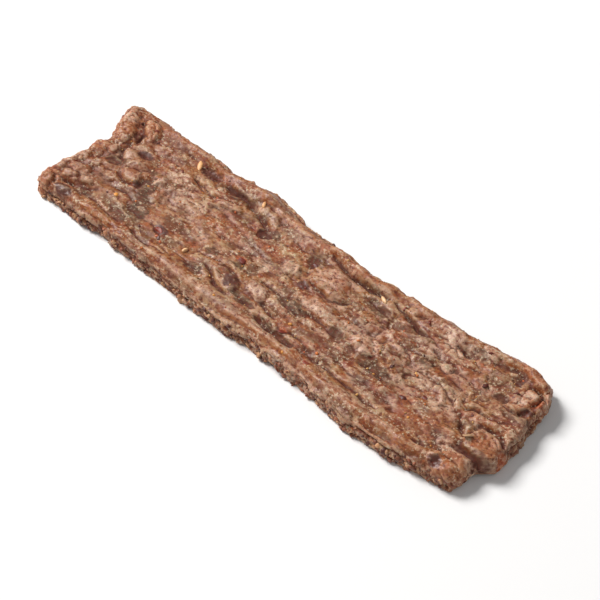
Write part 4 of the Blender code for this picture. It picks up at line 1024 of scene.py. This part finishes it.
SPICES = (
    Kind(
        "seeds",
        rows(
            Chip,
            (-45.4, 14.3, 4, 1.5, -58), (-22, 15, 2.2, 1.1, -60), (24, 11.8, 3, 1.1, -25),
            (-26, -10.7, 2, 1, 82),
        ),
        ("top",), 0, (1.2, 1.8),
        ((238, 178, 108), (230, 174, 118), (238, 192, 142)),
        seed=11, thickness=1.1, sunk=0.0, slimness=0.55, ragged=0.1, detail=3,
    ),
    Kind(
        "chilli_flakes",
        rows(
            Chip,
            (-39.6, 13.2, 3.6, 1.8, -10), (-36, -10.5, 3, 1.7, -15), (-12, -3.5, 3, 1.6, 20),
            (2.5, 8.8, 2.3, 1.4, -10), (12, -13.7, 2.6, 1.6, 15), (24, -17.8, 2.2, 1.4),
            (49, -9, 2.3, 1.5, 30), (53, -5.3, 2.1, 1.3, -40), (61.5, 8, 2.1, 1.3, 60),
            (68.8, 11.2, 1.9, 1.5),
        ),
        ("top",), 30, (0.8, 1.7),
        ((108, 34, 16), (84, 28, 16), (132, 48, 22), (92, 40, 26)),
        seed=12, thickness=0.6, sunk=0.12, slimness=0.6, ragged=0.35, roughness=0.5, detail=3,
    ),
    Kind(
        "spice_grains",
        rows(
            Chip,
            (-53.8, -9, 1.5, 1.3), (-35, -12.3, 1.2, 0.9, 30), (-33, -13, 1.1, 0.8, -20),
            (-33.5, 9, 1.1, 0.8), (-8.5, -17.5, 1, 0.8), (12, -10.7, 1.3, 0.9, 10),
            (24, -13.5, 1.2, 0.8, -15),
        ),
        ("top",), 60, (0.45, 0.95),
        ((206, 112, 44), (212, 142, 60), (190, 92, 40), (222, 168, 96)),
        seed=13, thickness=0.6,
    ),
    Kind(
        "pale_grains",
        rows(Chip, (69.6, -8.1, 3.4, 1.8, 72), (50.4, 6, 2, 1.2, -20)),
        ("top", "near", "top", "far"), 260, (0.3, 0.8),
        ((198, 162, 126), (184, 146, 110), (208, 178, 144)),
        seed=14, thickness=0.45, roughness=0.4,
    ),
    Kind(
        "meat_crumbs",
        rows(
            Chip,
            (-59, 0, 2.6, 1.5, 70, "far", 3.6), (-55.2, 0, 2.2, 1.2, 60, "far", 4.2),
            (14.5, 0, 2.6, 2.2, 0, "near", 1.3), (17.4, 0, 2.8, 2.4, 20, "near", 1.2),
            (20.2, 0, 2.4, 2, 0, "near", 1.4), (63.8, 0, 2.2, 1.8, 0, "near", 1.8),
            (66.6, 0, 1.8, 1.6, 0, "near", 1.6), (71.3, 0, 2.4, 1.8, 0, "near", 1.4),
            (-65.8, 0, 2, 1.6, 0, "near", 1.8), (-59.2, 0, 1.8, 1.4, 0, "near", 1.6),
        ),
        ("near", "far", "near", "near", "far", "near", "near", "left"), 700, (0.6, 2.0),
        ((150, 88, 58), (126, 68, 44), (176, 118, 82), (98, 46, 32), (198, 146, 104)),
        seed=15, thickness=0.9, sunk=0.15, ragged=0.4, roughness=0.5,
    ),
)

# The way in from each side.
INWARD = {
    "top": (0.0, 0.0, -1.0),
    "near": (0.0, 1.0, 0.0),
    "far": (0.0, -1.0, 0.0),
    "left": (1.0, 0.0, 0.0),
}
FAR_OUT = 100.0
# Where bits are strewn: the ranges along and across the strip, and the lowest and highest on its sides.
STREWN_ALONG = (-72.0, 74.0)
STREWN_ACROSS = (-19.5, 17.5)
STREWN_UP = (0.5, 4.1)


def strewn_chips(kind):
    """Bits at random places of the kind's sides. The top's stay away from its very edge."""
    draw = np.random.default_rng(kind.seed)
    chips = []
    for number in range(kind.strewn):
        side = kind.sides[number % len(kind.sides)]
        x = draw.uniform(*STREWN_ALONG)
        y = draw.uniform(*STREWN_ACROSS)
        z = STREWN_UP[0] + (STREWN_UP[1] - STREWN_UP[0]) * draw.uniform() ** 1.5
        length = kind.lengths[0] + (kind.lengths[1] - kind.lengths[0]) * draw.uniform() ** 2
        width = length * kind.slimness * draw.uniform(0.8, 1.2)
        chips.append(Chip(x, y, length, width, draw.uniform(0.0, 180.0), side, z))
    return chips


def bit_of_spice(chip, kind, meat, number):
    """One bit: its points in the frame and its triangles. It lies along the slope of the meat under it."""
    inward = np.array(INWARD[chip.side])
    target = np.where(inward == 0.0, (chip.x, chip.y, chip.z), 0.0)
    start = placed(target - FAR_OUT * inward)
    hit, place, slope, _ = meat.ray_cast(Vector(start), Vector(inward))
    if not hit:
        return None
    ball = bmesh.new()
    bmesh.ops.create_icosphere(ball, subdivisions=kind.detail, radius=1.0)
    corners = np.array([vertex.co for vertex in ball.verts])
    faces = [[vertex.index for vertex in face.verts] for face in ball.faces]
    ball.free()
    shift = 10.0 * number
    swell = 1.0 + kind.ragged * rolling_noise(corners + shift, 0.7, kind.seed)
    bend = 0.25 * kind.ragged * rolling_noise(corners * (1.0, 1.0, 0.0) + shift, 0.9, kind.seed + 1)
    corners = corners * swell[:, None] * (chip.length / 2, chip.width / 2, kind.thickness / 2)
    corners[:, 2] += bend * chip.length - kind.sunk
    upright = Vector((0.0, 0.0, 1.0)).rotation_difference(slope).to_matrix()
    turned = np.array(upright @ Matrix.Rotation(np.radians(chip.turn), 3, "Z"))
    points = corners @ turned.T * MILLIMETRE + np.array(place)
    points[:, 2] = np.maximum(points[:, 2], 0.0)
    return points, faces


def make_spice(kind, meat):
    """All bits of one kind, joined in one mesh."""
    draw = np.random.default_rng(kind.seed + 50)
    points, faces, colours = [], [], []
    for number, chip in enumerate((*kind.named, *strewn_chips(kind))):
        made = bit_of_spice(chip, kind, meat, number)
        own = np.array(colour(*kind.colours[draw.integers(len(kind.colours))]))
        own[:3] *= draw.uniform(0.85, 1.15)
        if made is None:
            continue
        faces += [[corner + len(points) for corner in face] for face in made[1]]
        points += made[0].tolist()
        colours += [own] * len(made[0])
    spice = new_object(kind.name, points, faces)
    layer = spice.data.color_attributes.new("bit_colour", "FLOAT_COLOR", "POINT")
    layer.data.foreach_set("color", np.array(colours, np.float32).ravel())
    spice.data.materials.append(spice_material(kind.name, kind.roughness))
    return spice


# The camera, fitted to the corners of the strip in the photograph.
CAMERA_AZIMUTH = 43.717
CAMERA_ELEVATION = 47.206
CAMERA_DISTANCE = 636.9
FIELD_OF_VIEW = 14.0
PICTURE_WIDTH = 600.0
PIXELS_LEFT = 15.04
PIXELS_UP = 7.07

# The stage.
FLOOR_REACH = 3.0
SURROUND_STRENGTH = 0.22


def make_camera():
    """The camera at the photograph's place. It looks at the origin of the outline's coordinates."""
    azimuth, elevation = np.radians([CAMERA_AZIMUTH, CAMERA_ELEVATION])
    back = (np.sin(azimuth) * np.cos(elevation), -np.cos(azimuth) * np.cos(elevation), np.sin(elevation))
    data = bpy.data.cameras.new("camera")
    data.sensor_fit = "HORIZONTAL"
    data.angle = np.radians(FIELD_OF_VIEW)
    data.shift_x = PIXELS_LEFT / PICTURE_WIDTH
    data.shift_y = -PIXELS_UP / PICTURE_WIDTH
    data.clip_start = 0.01
    data.clip_end = 20.0
    camera = in_scene("camera", data)
    camera.location = placed(CAMERA_DISTANCE * np.array(back))
    camera.rotation_euler = Vector(back).to_track_quat("Z", "Y").to_euler()
    bpy.context.scene.camera = camera


def make_lamp(name, place, size, power, tint):
    """A soft lamp facing the strip. Its place: metres to the camera's right, past the strip, and up."""
    side, behind, up = place
    azimuth = np.radians(CAMERA_AZIMUTH)
    right = np.array([np.cos(azimuth), np.sin(azimuth), 0.0])
    away = np.array([-np.sin(azimuth), np.cos(azimuth), 0.0])
    data = bpy.data.lights.new(name, "AREA")
    data.size = size
    data.energy = power
    data.color = tint
    lamp = in_scene(name, data)
    lamp.location = side * right + behind * away + np.array([0.0, 0.0, up])
    lamp.rotation_euler = lamp.location.to_track_quat("Z", "Y").to_euler()


def make_stage():
    """A white floor, soft studio lamps and an even white surround."""
    corners = [(x, y, 0.0) for x in (-FLOOR_REACH, FLOOR_REACH) for y in (-FLOOR_REACH, FLOOR_REACH)]
    floor = new_object("floor", corners, [(0, 2, 3, 1)])
    nodes = Nodes("white_floor")
    looks = {"Base Color": (0.86, 0.86, 0.86, 1.0), "Roughness": 0.8, "Specular IOR Level": 0.2}
    nodes.put(looks, nodes.shader)
    floor.data.materials.append(nodes.material)
    make_lamp("key", (-1.0, 0.74, 1.32), size=0.7, power=44.0, tint=(1.0, 0.985, 0.97))
    make_lamp("fill", (0.3, -0.6, 0.9), size=0.8, power=1.5, tint=(1.0, 1.0, 1.0))
    world = bpy.data.worlds.new("surround")
    world.use_nodes = True
    light = world.node_tree.nodes["Background"].inputs
    light["Color"].default_value = (1.0, 1.0, 1.0, 1.0)
    light["Strength"].default_value = SURROUND_STRENGTH
    bpy.context.scene.world = world
    bpy.context.scene.view_settings.view_transform = "Standard"


def main():
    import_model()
    meat = make_meat()
    bpy.context.view_layer.update()
    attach(meat, "root")
    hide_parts("jerky_strip")
    for kind in SPICES:
        spice = make_spice(kind, meat)
        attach(spice, "root")
    make_camera()
    make_stage()


main()
